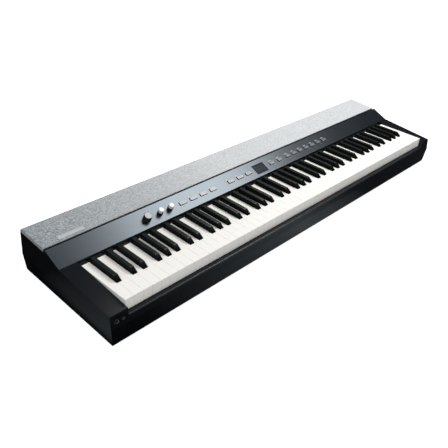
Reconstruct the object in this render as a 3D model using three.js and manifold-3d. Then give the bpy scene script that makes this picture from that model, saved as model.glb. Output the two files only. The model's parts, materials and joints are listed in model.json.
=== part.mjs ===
// A free-standing digital piano with 88 keys, in millimetres.
// +X runs to the treble end, the player sits at -Y, and +Z is up.
// The origin is on the floor under the middle of the case.

import * as THREE from 'three';
import { mergeVertices } from 'three/addons/utils/BufferGeometryUtils.js';
import Module from 'manifold-3d';

const wasm = await Module();
wasm.setup();

// Keyboard, measured from the front edge of the white key tops.
const whitePitch = 23.5;
const keyGap = 1;
const blackWidth = 11.3;
const notchGap = 1.1;
const whiteLength = 146.4;
const blackFront = 52.8;
const blackFrontRun = 11.5;
const blackNose = 2.2;
const blackHeight = 11;
const blackBackRun = 2;
const blackBackSetback = 0.5;
const keyDepth = 12;
const shankDrop = 3;
const lipHeight = 27;
const lipThickness = 3;
const keyTravel = 10;
const keyTilt = THREE.MathUtils.degToRad(2);
const keyTopHeight = 88.7;

// Key pivots: half-round seats under the keys, on a ridge of the chassis.
const pivotSetback = 75.6;
const ridgeRadius = 4;
const ridgeWidth = 10;
const ridgeDrop = 1.2;
const blackTail = 7;
const whiteTail = 14;
const whiteRailDepth = 6;
const blackRailDepth = 8;
const blackRailHeight = 5.5;
const blackRailLift = 1.5;
const blackRailSetback = 8;

// Case, with heights from the underside of the bottom tray.
const seatGap = 0.3;
const overrun = 5;
const wall = 3;
const cheekWidth = 43.7;
const cheekGap = 1.3;
const endFlare = 1.5;
const endTuck = 4.5;
const frontLean = 3;
const creaseLean = 5;
const pocketGap = 0.5;
const rearTuck = 3;
const rearLedge = 0.5;
const creaseDrop = 44.7;
const cheekDrop = 11.5;
const footHeight = 4;
const footRadius = 12;
const footBevel = 0.8;
const footStemRadius = 3;
const footInset = 95;
const footFrontInset = 38;
const footRearInset = 36;

// Key slip along the front.
const slipDepth = 9;
const slipGap = 1.5;
const slipUnderLip = 0.7;
const slipBack = 13;
const slipSheet = 2.5;

// Control panel.
const panelSetback = 12.2;
const panelOverKeys = 4.2;
const panelSlope = THREE.MathUtils.degToRad(21.64);
const panelLength = 54.84;
const panelSheet = 2.5;
const panelLipDrop = 3.5;
const panelLipSheet = 2.2;
const panelRow = 24.3;

// Lid board and its cloth.
const lidGap = 6.1;
const lidStep = 1;
const lidSlope = THREE.MathUtils.degToRad(2.27);
const lidLength = 89.3;
const lidBoard = 4.5;
const clothThickness = 1.2;
const clothRound = 2;
const lidLedge = 12;
const badgeLength = 67;
const badgeWidth = 12;
const badgeThickness = 1;
const badgeInset = 44;
const badgeFront = 8;

// Buttons, in panel places: across is x, and the row is the height up the slope.
const buttonDepth = 9.6;
const buttonProud = 2;
const buttonBevel = 0.5;
const buttonTravel = 1;
const buttonFlange = 1.2;
const buttonFlangeLip = 1;
const buttonStem = 3;
const buttonStemDrop = 0.6;
const wideButton = 21.6;
const narrowButton = 18.4;
const widePitch = 35.3;
const narrowPitch = 30.2;
const modeStart = -289;
const songStart = -114.5;
const valueStart = 56.5;
const voiceStart = 130;
const buttonGroups = [
  { name: 'mode_button', count: 4, start: modeStart, pitch: widePitch, width: wideButton },
  { name: 'song_button', count: 3, start: songStart, pitch: widePitch, width: wideButton },
  { name: 'value_button', count: 2, start: valueStart, pitch: widePitch, width: narrowButton },
  { name: 'voice_button', count: 7, start: voiceStart, pitch: narrowPitch, width: narrowButton },
];

// Display and rotary controls.
const displayAcross = 5;
const displayLength = 46;
const displayWidth = 31.6;
const displayRecess = 0.3;
const shaftRadius = 3;
const shaftEnd = 7;
const knobLift = 0.4;
const knobBevel = 0.8;
const volumeAcross = -404;
const lowToneAcross = -363.5;
const highToneAcross = -331.5;
const volumeSize = { radius: 10.5, top: 9.8, height: 14 };
const toneSize = { radius: 7.2, top: 6.6, height: 15 };
const knobs = [
  { name: 'volume_knob', across: volumeAcross, ...volumeSize },
  { name: 'tone_knob_low', across: lowToneAcross, ...toneSize },
  { name: 'tone_knob_high', across: highToneAcross, ...toneSize },
];

// Circuit boards.
const boardSheet = 1.6;
const boardDepth = 8;
const boardFront = 12;
const boardBackInset = 8.84;
const boardMargin = 20;
const switchSize = 6;
const potSize = 12;
const panelPostRadius = 3;
const panelPostInset = 4;
const mainBoardLeft = -420;
const mainBoardLength = 300;
const mainBoardWidth = 42;
const mainBoardInset = 9;
const mainBoardPost = 5;
const mainBoardPostRadius = 4;
const mainBoardMargin = 8;
const heatSinkLength = 60;
const heatSinkWidth = 16;
const heatSinkHeight = 14;

// Key chassis and the felts and contacts on it.
const chassisSheet = 2.5;
const chassisFront = 22;
const chassisBack = 12;
const chassisFoot = 12;
const chassisSideGap = 0.8;
const stopFeltWidth = 16;
const stopFeltInset = 1;
const feltSheet = 2.5;
const feltGap = 0.8;
const stopClearance = 0.4;
const contactFront = 105;
const contactWidth = 50;
const contactStripWidth = 22;

// Sockets.
const socketBack = 22;
const socketFloor = 3;
const headphoneSocket = { bore: 3.25, barrel: 4.6, ring: 6, body: 6.6 };
const smallSocket = { bore: 1.8, barrel: 3.2, ring: 4.3, body: 5 };
const powerSocket = { bore: 3.1, barrel: 4.8, ring: 4.8, body: 6.6 };
const ringSheet = 1.2;
const headphoneInset = 14.6;
const smallInset = 30.4;
const frontSocketRise = 15;
const rearSocketRise = 28;
const pedalAcross = -330;
const powerAcross = -250;

// Speakers under the lid.
const speakerInset = 100;
const speakerSetback = 50;
const speakerRadius = 35;
const speakerFlange = 2;
const speakerRim = 4;
const speakerDepth = 28;
const speakerMagnet = 21;
const speakerMagnetDepth = 12;
const speakerConeRadius = 30;
const speakerConeDepth = 14;
const speakerCap = 9;
const boardHoleRadius = 32;

// Counts and shares.
const whiteCount = 52;
const lettersInOctave = 7;
const firstC = 2;
const middleOctave = 4;
const whiteLetters = ['a', 'b', 'c', 'd', 'e', 'f', 'g'];
const blackNames = ['c_sharp', 'd_sharp', 'f_sharp', 'g_sharp', 'a_sharp'];
const blackCentreShares = [0.9, 2.1, 3.857, 5, 6.143];
const roundSides = 12;
const notchSides = 4;

// Values that follow from the sizes above.
const keyboardLength = whiteCount * whitePitch;
const keyboardHalf = keyboardLength / 2;
const cheekInner = keyboardHalf + cheekGap;
const caseHalf = cheekInner + cheekWidth;
const caseFront = -(slipDepth + slipGap);
const pivotBack = whiteLength + pivotSetback;
const travelAngle = Math.atan(keyTravel / pivotBack);
const creaseHeight = keyTopHeight - creaseDrop;
const blockBottom = creaseHeight + seatGap;
const frontSocketHeight = creaseHeight + frontSocketRise;
const rearSocketHeight = creaseHeight + rearSocketRise;
const cheekFrontHeight = keyTopHeight - cheekDrop;
const slipHeight = keyTopHeight - lipHeight - slipUnderLip;
const panelFrontHeight = keyTopHeight - whiteLength * Math.sin(keyTilt) + panelOverKeys;
const keysFrame = { y: 0, z: keyTopHeight, slope: -keyTilt };
const panelFrame = { y: whiteLength + panelSetback, z: panelFrontHeight, slope: panelSlope };
const [panelRearY, panelRearZ] = place(panelFrame, panelLength, 0);
const lidFrame = { y: panelRearY + lidGap, z: panelRearZ - lidStep, slope: lidSlope };
const lidThickness = clothThickness + seatGap + lidBoard;
const lidSeat = -(lidThickness + seatGap);
const caseRear = place(lidFrame, lidLength, 0)[0] + rearLedge;
const creaseFront = caseFront - creaseLean;
const deckMiddle = (Math.min(creaseFront, caseFront - frontLean) + caseRear) / 2;
const boardBack = panelLength - boardBackInset;

const materials = {
  case: { color: 0x14161a, roughness: 0.55, metalness: 0 },
  tray: { color: 0x101113, roughness: 0.6, metalness: 0 },
  panel: { color: 0x8a9098, roughness: 0.35, metalness: 0.6 },
  cloth: { color: 0xbfc3c5, roughness: 0.95, metalness: 0 },
  board: { color: 0x2a2622, roughness: 0.8, metalness: 0 },
  badge: { color: 0xd4d7d8, roughness: 0.3, metalness: 0.8 },
  white: { color: 0xf7f5ef, roughness: 0.3, metalness: 0 },
  black: { color: 0x17181a, roughness: 0.45, metalness: 0 },
  button: { color: 0xb4b9c0, roughness: 0.4, metalness: 0.3 },
  knob: { color: 0x101216, roughness: 0.5, metalness: 0 },
  display: { color: 0x2b323a, roughness: 0.1, metalness: 0 },
  felt: { color: 0x0d0d0f, roughness: 1, metalness: 0 },
  circuit: { color: 0x1d4a2c, roughness: 0.6, metalness: 0 },
  chassis: { color: 0x55585c, roughness: 0.5, metalness: 0.7 },
  speaker: { color: 0x1b1b1d, roughness: 0.7, metalness: 0.1 },
  socket: { color: 0x3a3d42, roughness: 0.4, metalness: 0.5 },
  rubber: { color: 0x0c0c0c, roughness: 0.9, metalness: 0 },
};

// A point of a sloping frame, given along and above its slope, as [y, z] in the case.
function place(frame, along, above) {
  return [
    frame.y + along * Math.cos(frame.slope) - above * Math.sin(frame.slope),
    frame.z + along * Math.sin(frame.slope) + above * Math.cos(frame.slope),
  ];
}

// Solids

function toSolid(geometry) {
  const bare = new THREE.BufferGeometry();
  bare.setAttribute('position', geometry.getAttribute('position'));
  bare.setIndex(geometry.getIndex());
  const merged = mergeVertices(bare);
  const index = merged.getIndex().array;
  const triangles = [];
  for (let i = 0; i < index.length; i += 3) {
    const [a, b, c] = [index[i], index[i + 1], index[i + 2]];
    if (a !== b && b !== c && c !== a) {
      triangles.push(a, b, c);
    }
  }
  return new wasm.Manifold(new wasm.Mesh({
    numProp: 3,
    vertProperties: new Float32Array(merged.getAttribute('position').array),
    triVerts: new Uint32Array(triangles),
  }));
}

function toGeometry(solid) {
  const mesh = solid.getMesh();
  const geometry = new THREE.BufferGeometry();
  geometry.setAttribute('position', new THREE.BufferAttribute(mesh.vertProperties, 3));
  geometry.setIndex(new THREE.BufferAttribute(mesh.triVerts, 1));
  geometry.computeVertexNormals();
  return geometry;
}

function joined(solids) {
  return solids.reduce((whole, solid) => whole.add(solid));
}

function cutBy(solid, cutters) {
  return cutters.reduce((rest, cutter) => rest.subtract(cutter), solid);
}

function extruded(outline, depth, basis) {
  const shape = new THREE.Shape(outline.map(([u, v]) => new THREE.Vector2(u, v)));
  const geometry = new THREE.ExtrudeGeometry(shape, { depth, bevelEnabled: false });
  return geometry.applyMatrix4(basis);
}

const axisX = new THREE.Vector3(1, 0, 0);
const axisY = new THREE.Vector3(0, 1, 0);
const axisZ = new THREE.Vector3(0, 0, 1);

// An outline of [y, z] points, drawn out along X.
function alongX(outline, left, right) {
  const basis = new THREE.Matrix4().makeBasis(axisY, axisZ, axisX).setPosition(left, 0, 0);
  return toSolid(extruded(outline, right - left, basis));
}

// An outline of [x, y] points, drawn out along Z.
function alongZ(outline, low, high) {
  const basis = new THREE.Matrix4().makeTranslation(0, 0, low);
  return toSolid(extruded(outline, high - low, basis));
}

function block(left, right, front, back, low, high) {
  const geometry = new THREE.BoxGeometry(right - left, back - front, high - low);
  geometry.translate((left + right) / 2, (front + back) / 2, (low + high) / 2);
  return toSolid(geometry);
}

// A block whose lower and upper faces are different rectangles.
function tapered(low, high) {
  const geometry = new THREE.BoxGeometry(1, 1, 1);
  const position = geometry.getAttribute('position');
  for (let i = 0; i < position.count; i += 1) {
    const end = position.getZ(i) > 0 ? high : low;
    const x = position.getX(i) > 0 ? end.right : end.left;
    const y = position.getY(i) > 0 ? end.back : end.front;
    position.setXYZ(i, x, y, end.z);
  }
  return toSolid(geometry);
}

// A round solid about Z, from [radius, height] points that start and end on the axis.
function turned(profile, sides = roundSides) {
  const points = profile.map(([radius, height]) => new THREE.Vector2(radius, height));
  const geometry = new THREE.LatheGeometry(points, sides);
  geometry.rotateX(Math.PI / 2);
  return toSolid(geometry);
}

function post(radius, low, high) {
  return turned([[0, low], [radius, low], [radius, high], [0, high]]);
}

const materialOf = {};
for (const [name, look] of Object.entries(materials)) {
  materialOf[name] = new THREE.MeshStandardMaterial({ name, ...look });
}

function piece(name, solid, material) {
  const mesh = new THREE.Mesh(toGeometry(solid), materialOf[material]);
  mesh.name = name;
  return mesh;
}

// Groups that carry the pieces

const piano = new THREE.Group();
const deck = new THREE.Group();
deck.position.set(0, -deckMiddle, footHeight);
piano.add(deck);

function slopingGroup(frame) {
  const group = new THREE.Group();
  group.position.set(0, frame.y, frame.z);
  group.rotation.x = frame.slope;
  deck.add(group);
  return group;
}

const keyBed = slopingGroup(keysFrame);
const panelDeck = slopingGroup(panelFrame);
const lidDeck = slopingGroup(lidFrame);

// Bottom tray: the lower shell, whose ends and back draw in towards the floor

const trayFoot = {
  left: -(caseHalf + endFlare - endTuck),
  right: caseHalf + endFlare - endTuck,
  front: caseFront - frontLean,
  back: caseRear - rearTuck,
  z: 0,
};
const trayRim = {
  left: -(caseHalf + endFlare),
  right: caseHalf + endFlare,
  front: creaseFront,
  back: caseRear,
  z: creaseHeight,
};

function shrunk(rectangle, inset, z) {
  return {
    left: rectangle.left + inset,
    right: rectangle.right - inset,
    front: rectangle.front + inset,
    back: rectangle.back - inset,
    z,
  };
}

const footPlaces = [];
for (const [end, x] of [['left', trayFoot.left + footInset], ['right', trayFoot.right - footInset]]) {
  footPlaces.push({ name: `${end}_front_foot`, x, y: trayFoot.front + footFrontInset });
  footPlaces.push({ name: `${end}_rear_foot`, x, y: trayFoot.back - footRearInset });
}

const mainBoardBack = caseRear - wall - mainBoardInset;
const mainBoardFront = mainBoardBack - mainBoardWidth;
const mainBoardRight = mainBoardLeft + mainBoardLength;

function bottomTray() {
  const shell = tapered(trayFoot, trayRim);
  const hollow = tapered(shrunk(trayFoot, wall, wall), shrunk(trayRim, wall, creaseHeight));
  const mouth = shrunk(trayRim, wall, creaseHeight);
  const mouthCut = tapered(mouth, { ...mouth, z: creaseHeight + overrun });
  const posts = [];
  for (const x of [mainBoardLeft + mainBoardMargin, mainBoardRight - mainBoardMargin]) {
    for (const y of [mainBoardFront + mainBoardMargin, mainBoardBack - mainBoardMargin]) {
      posts.push(post(mainBoardPostRadius, wall / 2, wall + mainBoardPost).translate([x, y, 0]));
    }
  }
  const footHoles = footPlaces.map(({ x, y }) => (
    post(footStemRadius + seatGap, -overrun, wall + overrun).translate([x, y, 0])
  ));
  return cutBy(joined([cutBy(shell, [hollow, mouthCut]), ...posts]), footHoles);
}

deck.add(piece('bottom_tray', bottomTray(), 'tray'));

function rubberFoot() {
  return turned([
    [0, -footHeight],
    [footRadius - footBevel, -footHeight],
    [footRadius, -footHeight + footBevel],
    [footRadius, -seatGap],
    [footStemRadius, -seatGap],
    [footStemRadius, wall - seatGap],
    [0, wall - seatGap],
  ]);
}

for (const { name, x, y } of footPlaces) {
  const foot = piece(name, rubberFoot(), 'rubber');
  foot.position.set(x, y, 0);
  deck.add(foot);
}

// End blocks: each is one moulding of end wall, cheek and front corner, open below

// Place of the case's leaning front face at a height between the cheeks and the crease.
function frontAt(height) {
  return caseFront - creaseLean * (cheekFrontHeight - height) / (cheekFrontHeight - creaseHeight);
}

// Each front socket sits on the upright floor of a shallow round pocket in the leaning face.
function pocketed(name, inset, shape) {
  const seat = frontAt(frontSocketHeight + shape.ring + pocketGap);
  return { name, x: inset - caseHalf, shape, seat };
}

const frontSockets = [
  pocketed('headphone_jack', headphoneInset, headphoneSocket),
  pocketed('small_headphone_jack', smallInset, smallSocket),
];
const [lidSeatFrontY, lidSeatFrontZ] = place(lidFrame, 0, lidSeat);
const lidSeatRearZ = lidSeatFrontZ + (caseRear - lidSeatFrontY) * Math.tan(lidSlope);
const panelUnderside = -(panelSheet + seatGap);
const panelTail = place(panelFrame, panelLength, panelUnderside);
const blockOutline = [
  [frontAt(blockBottom), blockBottom],
  [caseFront, cheekFrontHeight],
  place(panelFrame, -seatGap, 0),
  place(panelFrame, -seatGap, panelUnderside),
  panelTail,
  [panelTail[0], lidSeatFrontZ + (panelTail[0] - lidSeatFrontY) * Math.tan(lidSlope)],
  [caseRear, lidSeatRearZ],
  [caseRear, blockBottom],
];

// The same outline with every edge moved inwards but the lowest, which is let out below.
function hollowOutline(outline, inset) {
  const count = outline.length;
  const edges = outline.map(([y, z], i) => {
    const [nextY, nextZ] = outline[(i + 1) % count];
    const size = Math.hypot(nextY - y, nextZ - z);
    const normal = [(nextZ - z) / size, -(nextY - y) / size];
    const shift = Math.max(z, nextZ) > blockBottom ? inset : -overrun;
    return { normal, reach: normal[0] * y + normal[1] * z + shift };
  });
  return outline.map((_, i) => {
    const before = edges[(i + count - 1) % count];
    const after = edges[i];
    const [a, b] = before.normal;
    const [c, d] = after.normal;
    const area = a * d - b * c;
    return [(before.reach * d - after.reach * b) / area, (after.reach * a - before.reach * c) / area];
  });
}

// A prism from inner to outer whose outer face flares out towards the crease.
function flaredPrism(outline, inner, outer) {
  const geometry = extruded(
    outline,
    outer - inner,
    new THREE.Matrix4().makeBasis(axisY, axisZ, axisX).setPosition(inner, 0, 0),
  );
  const position = geometry.getAttribute('position');
  const middle = (inner + outer) / 2;
  for (let i = 0; i < position.count; i += 1) {
    if (position.getX(i) > middle) {
      const dropShare = (lidSeatRearZ - position.getZ(i)) / (lidSeatRearZ - creaseHeight);
      position.setX(i, outer + endFlare * dropShare);
    }
  }
  return toSolid(geometry);
}

function endBlock() {
  const outside = flaredPrism(blockOutline, cheekInner, caseHalf);
  const inside = flaredPrism(hollowOutline(blockOutline, wall), cheekInner + wall, caseHalf - wall);
  return outside.subtract(inside);
}

function socketHole(shape, face, x, height) {
  return post(shape.barrel + seatGap, -(wall + overrun), wall + overrun)
    .rotate([90, 0, 0])
    .translate([x, face, height]);
}

function socketPocket({ x, shape, seat }) {
  return post(shape.ring + pocketGap, 0, overrun)
    .rotate([90, 0, 0])
    .translate([x, seat, frontSocketHeight]);
}

function leftEndBlock() {
  const holes = frontSockets.flatMap((socket) => [
    socketHole(socket.shape, socket.seat, socket.x, frontSocketHeight),
    socketPocket(socket),
  ]);
  return cutBy(endBlock().mirror([1, 0, 0]), holes);
}

deck.add(piece('left_end_block', leftEndBlock(), 'case'));
deck.add(piece('right_end_block', endBlock(), 'case'));

// Key slip: a channel along the front, on the rim of the tray

const slipHalf = cheekInner - seatGap;

function keySlip() {
  const back = caseFront + slipDepth;
  return alongX([
    [frontAt(blockBottom), blockBottom],
    [frontAt(slipHeight), slipHeight],
    [back, slipHeight],
    [back, slipHeight - slipBack],
    [back - slipSheet, slipHeight - slipBack],
    [back - slipSheet, slipHeight - slipSheet],
    [frontAt(slipHeight - slipSheet) + slipSheet, slipHeight - slipSheet],
    [frontAt(blockBottom) + slipSheet, blockBottom],
  ], -slipHalf, slipHalf);
}

deck.add(piece('key_slip', keySlip(), 'case'));

// Rear panel between the end blocks, with its two sockets

const rearSockets = [
  { name: 'pedal_jack', x: pedalAcross, shape: headphoneSocket },
  { name: 'power_inlet', x: powerAcross, shape: powerSocket },
];

function rearPanel() {
  const innerRise = (caseRear - wall - lidSeatFrontY) * Math.tan(lidSlope);
  const sheet = alongX([
    [caseRear - wall, blockBottom],
    [caseRear, blockBottom],
    [caseRear, lidSeatRearZ],
    [caseRear - wall, lidSeatFrontZ + innerRise],
  ], -slipHalf, slipHalf);
  return cutBy(sheet, rearSockets.map(({ x, shape }) => socketHole(shape, caseRear, x, rearSocketHeight)));
}

deck.add(piece('rear_panel', rearPanel(), 'case'));

// Sockets: a blind bore in a barrel through the wall, with the body behind the wall.
// The profile runs along the bore, from the wall's outer face at zero towards the inside.
function socket(shape, proud) {
  const face = proud ? -(seatGap + ringSheet) : 0;
  const back = wall + seatGap + socketBack;
  return turned([
    [0, back - socketFloor],
    [shape.bore, back - socketFloor],
    [shape.bore, face],
    [shape.ring, face],
    [shape.ring, face + ringSheet],
    [shape.barrel, face + ringSheet],
    [shape.barrel, wall + seatGap],
    [shape.body, wall + seatGap],
    [shape.body, back],
    [0, back],
  ]);
}

for (const { name, x, shape, seat } of frontSockets) {
  const jack = piece(name, socket(shape, true), 'socket');
  jack.position.set(x, seat, frontSocketHeight);
  jack.rotation.x = -Math.PI / 2;
  deck.add(jack);
}
for (const { name, x, shape } of rearSockets) {
  const inlet = piece(name, socket({ ...shape, ring: shape.barrel }, false), 'socket');
  inlet.position.set(x, caseRear, rearSocketHeight);
  inlet.rotation.x = Math.PI / 2;
  deck.add(inlet);
}

// Control panel: a sloping sheet with cut-outs, a front lip over the keys, and a back lip
// that closes the gap in front of the lid

const buttons = buttonGroups.flatMap(({ name, count, start, pitch, width }) => (
  Array.from({ length: count }, (_, i) => ({ name: `${name}_${i + 1}`, across: start + i * pitch, width }))
));
const panelHalf = caseHalf;
const lipBack = place(panelFrame, 0, -panelSheet)[0] + seatGap + panelLipSheet;
const lipLow = panelFrame.z - panelSheet - panelLipDrop;

function panelSheetSolid() {
  const sheet = block(-panelHalf, panelHalf, 0, panelLength, -panelSheet, 0);
  const cutters = buttons.map(({ across, width }) => block(
    across - width / 2 - seatGap,
    across + width / 2 + seatGap,
    panelRow - buttonDepth / 2 - seatGap,
    panelRow + buttonDepth / 2 + seatGap,
    -(panelSheet + overrun),
    overrun,
  ));
  cutters.push(block(
    displayAcross - displayLength / 2 - seatGap,
    displayAcross + displayLength / 2 + seatGap,
    panelRow - displayWidth / 2 - seatGap,
    panelRow + displayWidth / 2 + seatGap,
    -(panelSheet + overrun),
    overrun,
  ));
  for (const { across } of knobs) {
    cutters.push(post(shaftRadius + seatGap, -(panelSheet + overrun), overrun).translate([across, panelRow, 0]));
  }
  return cutBy(sheet, cutters);
}

// Height of the middle of the sloping sheet over a place, where the lips are rooted.
function sheetMiddle(y) {
  return panelFrame.z + (y - panelFrame.y) * Math.tan(panelSlope) - panelSheet / 2;
}

function panelLips() {
  const lipFront = place(panelFrame, 0, -panelSheet)[0] + seatGap;
  const front = alongX([
    [lipFront, lipLow],
    [lipBack, lipLow],
    [lipBack, sheetMiddle(lipBack)],
    [lipFront, sheetMiddle(lipFront)],
  ], -slipHalf, slipHalf);
  const gapFront = panelRearY - seatGap;
  const shelfFront = gapFront - panelLipSheet;
  const shelfBack = lidSeatFrontY + lidLedge;
  const shelfTop = (y) => lidSeatFrontZ + (y - lidSeatFrontY) * Math.tan(lidSlope);
  const back = alongX([
    [gapFront, sheetMiddle(gapFront)],
    [shelfFront, sheetMiddle(shelfFront)],
    [shelfFront, shelfTop(shelfFront) - panelSheet],
    [shelfBack, shelfTop(shelfBack) - panelSheet],
    [shelfBack, shelfTop(shelfBack)],
    [gapFront, shelfTop(gapFront)],
  ], -slipHalf, slipHalf);
  return [front, back];
}

const panelTurn = THREE.MathUtils.radToDeg(panelSlope);
const boardLeft = knobs[0].across - potSize / 2 - boardMargin;
const boardRight = buttons.at(-1).across + buttons.at(-1).width / 2 + boardMargin;
const [firstGroup, secondGroup] = buttonGroups;
const firstGroupEnd = firstGroup.start + (firstGroup.count - 1) * firstGroup.pitch;
const postPlaces = [boardLeft + boardMargin / 2, (firstGroupEnd + secondGroup.start) / 2, boardRight - boardMargin / 2];

function panelPosts() {
  return postPlaces.flatMap((across) => [boardFront + panelPostInset, boardBack - panelPostInset].map((row) => (
    post(panelPostRadius, -(boardDepth - seatGap), -panelSheet / 2).translate([across, row, 0])
  )));
}

function controlPanel() {
  const sloping = joined([panelSheetSolid(), ...panelPosts()])
    .rotate([panelTurn, 0, 0])
    .translate([0, panelFrame.y, panelFrame.z]);
  return joined([sloping, ...panelLips()]);
}

deck.add(piece('control_panel', controlPanel(), 'panel'));

// Felt strip behind the front lip, just above the keys

function dustFelt() {
  const front = lipBack + seatGap;
  const [, keyHeight] = place(keysFrame, front, -shankDrop);
  return block(-slipHalf, slipHalf, front, front + feltSheet, keyHeight + feltGap, panelFrame.z - panelSheet);
}

deck.add(piece('dust_felt', dustFelt(), 'felt'));

// Buttons: a cap with a flange under the panel and a stem over its switch

const flangeTop = -(panelSheet + seatGap);
const stemEnd = flangeTop - buttonFlange - buttonStemDrop;

function around(width, depth, z) {
  return { left: -width / 2, right: width / 2, front: -depth / 2, back: depth / 2, z };
}

function button(width) {
  const shoulder = buttonProud - buttonBevel;
  const lip = 2 * buttonFlangeLip;
  const bevel = 2 * buttonBevel;
  return joined([
    tapered(around(width, buttonDepth, flangeTop - buttonFlange / 2), around(width, buttonDepth, shoulder)),
    tapered(around(width, buttonDepth, shoulder), around(width - bevel, buttonDepth - bevel, buttonProud)),
    tapered(
      around(width + lip, buttonDepth + lip, flangeTop - buttonFlange),
      around(width + lip, buttonDepth + lip, flangeTop),
    ),
    tapered(around(buttonStem, buttonStem, stemEnd), around(buttonStem, buttonStem, flangeTop - buttonFlange / 2)),
  ]);
}

for (const { name, across, width } of buttons) {
  const cap = piece(name, button(width), 'button');
  cap.position.set(across, panelRow, 0);
  panelDeck.add(cap);
}

// Rotary controls: each knob is fixed on the shaft of its potentiometer

function knob({ radius, top, height }) {
  return turned([
    [0, -shaftEnd],
    [shaftRadius, -shaftEnd],
    [shaftRadius, knobLift],
    [radius, knobLift],
    [top, height - knobBevel],
    [top - knobBevel, height],
    [0, height],
  ]);
}

for (const control of knobs) {
  const mesh = piece(control.name, knob(control), 'knob');
  mesh.position.set(control.across, panelRow, 0);
  panelDeck.add(mesh);
}

// Display module in its window

function displayWindow() {
  return block(
    displayAcross - displayLength / 2,
    displayAcross + displayLength / 2,
    panelRow - displayWidth / 2,
    panelRow + displayWidth / 2,
    -(boardDepth - seatGap),
    -displayRecess,
  );
}

panelDeck.add(piece('display_window', displayWindow(), 'display'));

// Panel board, with the switches and potentiometers soldered on it

function panelBoard() {
  const board = block(boardLeft, boardRight, boardFront, boardBack, -(boardDepth + boardSheet), -boardDepth);
  const rooted = -(boardDepth + boardSheet / 2);
  const switches = buttons.map(({ across }) => block(
    across - switchSize / 2,
    across + switchSize / 2,
    panelRow - switchSize / 2,
    panelRow + switchSize / 2,
    rooted,
    stemEnd - buttonTravel - seatGap,
  ));
  const pots = knobs.map(({ across }) => {
    const body = block(
      across - potSize / 2,
      across + potSize / 2,
      panelRow - potSize / 2,
      panelRow + potSize / 2,
      rooted,
      -(panelSheet + seatGap),
    );
    return body.subtract(post(shaftRadius + seatGap, -(shaftEnd + seatGap), 0).translate([across, panelRow, 0]));
  });
  return joined([board, ...switches, ...pots]);
}

panelDeck.add(piece('panel_board', panelBoard(), 'circuit'));

// Main board, on the posts of the tray

function mainBoard() {
  const low = wall + mainBoardPost + seatGap;
  const middle = (mainBoardFront + mainBoardBack) / 2;
  const centre = (mainBoardLeft + mainBoardRight) / 2;
  return joined([
    block(mainBoardLeft, mainBoardRight, mainBoardFront, mainBoardBack, low, low + boardSheet),
    block(
      centre - heatSinkLength / 2,
      centre + heatSinkLength / 2,
      middle - heatSinkWidth / 2,
      middle + heatSinkWidth / 2,
      low + boardSheet / 2,
      low + boardSheet + heatSinkHeight,
    ),
  ]);
}

deck.add(piece('main_board', mainBoard(), 'circuit'));

// Lid: a board that carries the speakers, and the cloth stretched over it

const speakerCentres = [
  { name: 'left_speaker', x: -(caseHalf - speakerInset) },
  { name: 'right_speaker', x: caseHalf - speakerInset },
];

function lidBoardSolid() {
  const inset = clothThickness + seatGap;
  const board = block(
    -(caseHalf - inset),
    caseHalf - inset,
    inset,
    lidLength - inset,
    -lidThickness,
    -inset,
  );
  return cutBy(board, speakerCentres.map(({ x }) => (
    post(boardHoleRadius, -(lidThickness + overrun), overrun).translate([x, speakerSetback, 0])
  )));
}

function lidCloth() {
  const whole = { left: -caseHalf, right: caseHalf, front: 0, back: lidLength };
  const top = shrunk(whole, clothRound, 0);
  const low = { ...whole, z: -lidThickness };
  const shoulder = { ...whole, z: -clothRound };
  const inside = shrunk(whole, clothThickness, -(lidThickness + overrun));
  return joined([tapered(low, shoulder), tapered(shoulder, top)])
    .subtract(tapered(inside, { ...inside, z: -clothThickness }));
}

function speaker() {
  const flangeLow = lidSeat - speakerFlange;
  const basketLow = lidSeat - speakerDepth;
  return turned([
    [0, basketLow - speakerMagnetDepth],
    [speakerMagnet, basketLow - speakerMagnetDepth],
    [speakerMagnet, basketLow],
    [boardHoleRadius, flangeLow - speakerRim],
    [boardHoleRadius, flangeLow],
    [speakerRadius, flangeLow],
    [speakerRadius, lidSeat],
    [speakerConeRadius, lidSeat],
    [speakerCap, lidSeat - speakerConeDepth],
    [0, lidSeat - speakerConeDepth + speakerCap / 2],
  ]);
}

lidDeck.add(piece('lid_board', lidBoardSolid(), 'board'));
lidDeck.add(piece('lid_cloth', lidCloth(), 'cloth'));
for (const { name, x } of speakerCentres) {
  const driver = piece(name, speaker(), 'speaker');
  driver.position.set(x, speakerSetback, 0);
  lidDeck.add(driver);
}

function badge() {
  const left = -(caseHalf - badgeInset);
  return block(left, left + badgeLength, badgeFront, badgeFront + badgeWidth, seatGap, seatGap + badgeThickness);
}

lidDeck.add(piece('name_plate', badge(), 'badge'));

// Key chassis: a bent sheet on the tray, with the pivot ridge and the stop felt fixed on it

const chassisHalf = slipHalf - chassisSideGap;
const chassisLow = wall + seatGap;
const chassisEnd = pivotBack + chassisBack;

// Height of a key's underside over a place when the key is fully down.
function pressedHeight(y) {
  const reach = pivotBack - y;
  return place(keysFrame, pivotBack - reach * Math.cos(travelAngle), -keyDepth - reach * Math.sin(travelAngle))[1];
}

const feltFront = chassisFront + stopFeltInset;
const feltBack = feltFront + stopFeltWidth;
const stopHeight = Math.min(pressedHeight(feltFront), pressedHeight(feltBack)) - stopClearance;
const shelfHeight = stopHeight - feltSheet;

// Points of a half circle about the pivot line, from the back of it over the top to the front.
function pivotArc(radius) {
  return Array.from({ length: notchSides + 1 }, (_, i) => {
    const angle = Math.PI * i / notchSides;
    return [pivotBack + radius * Math.cos(angle), -keyDepth + radius * Math.sin(angle)];
  });
}

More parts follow.
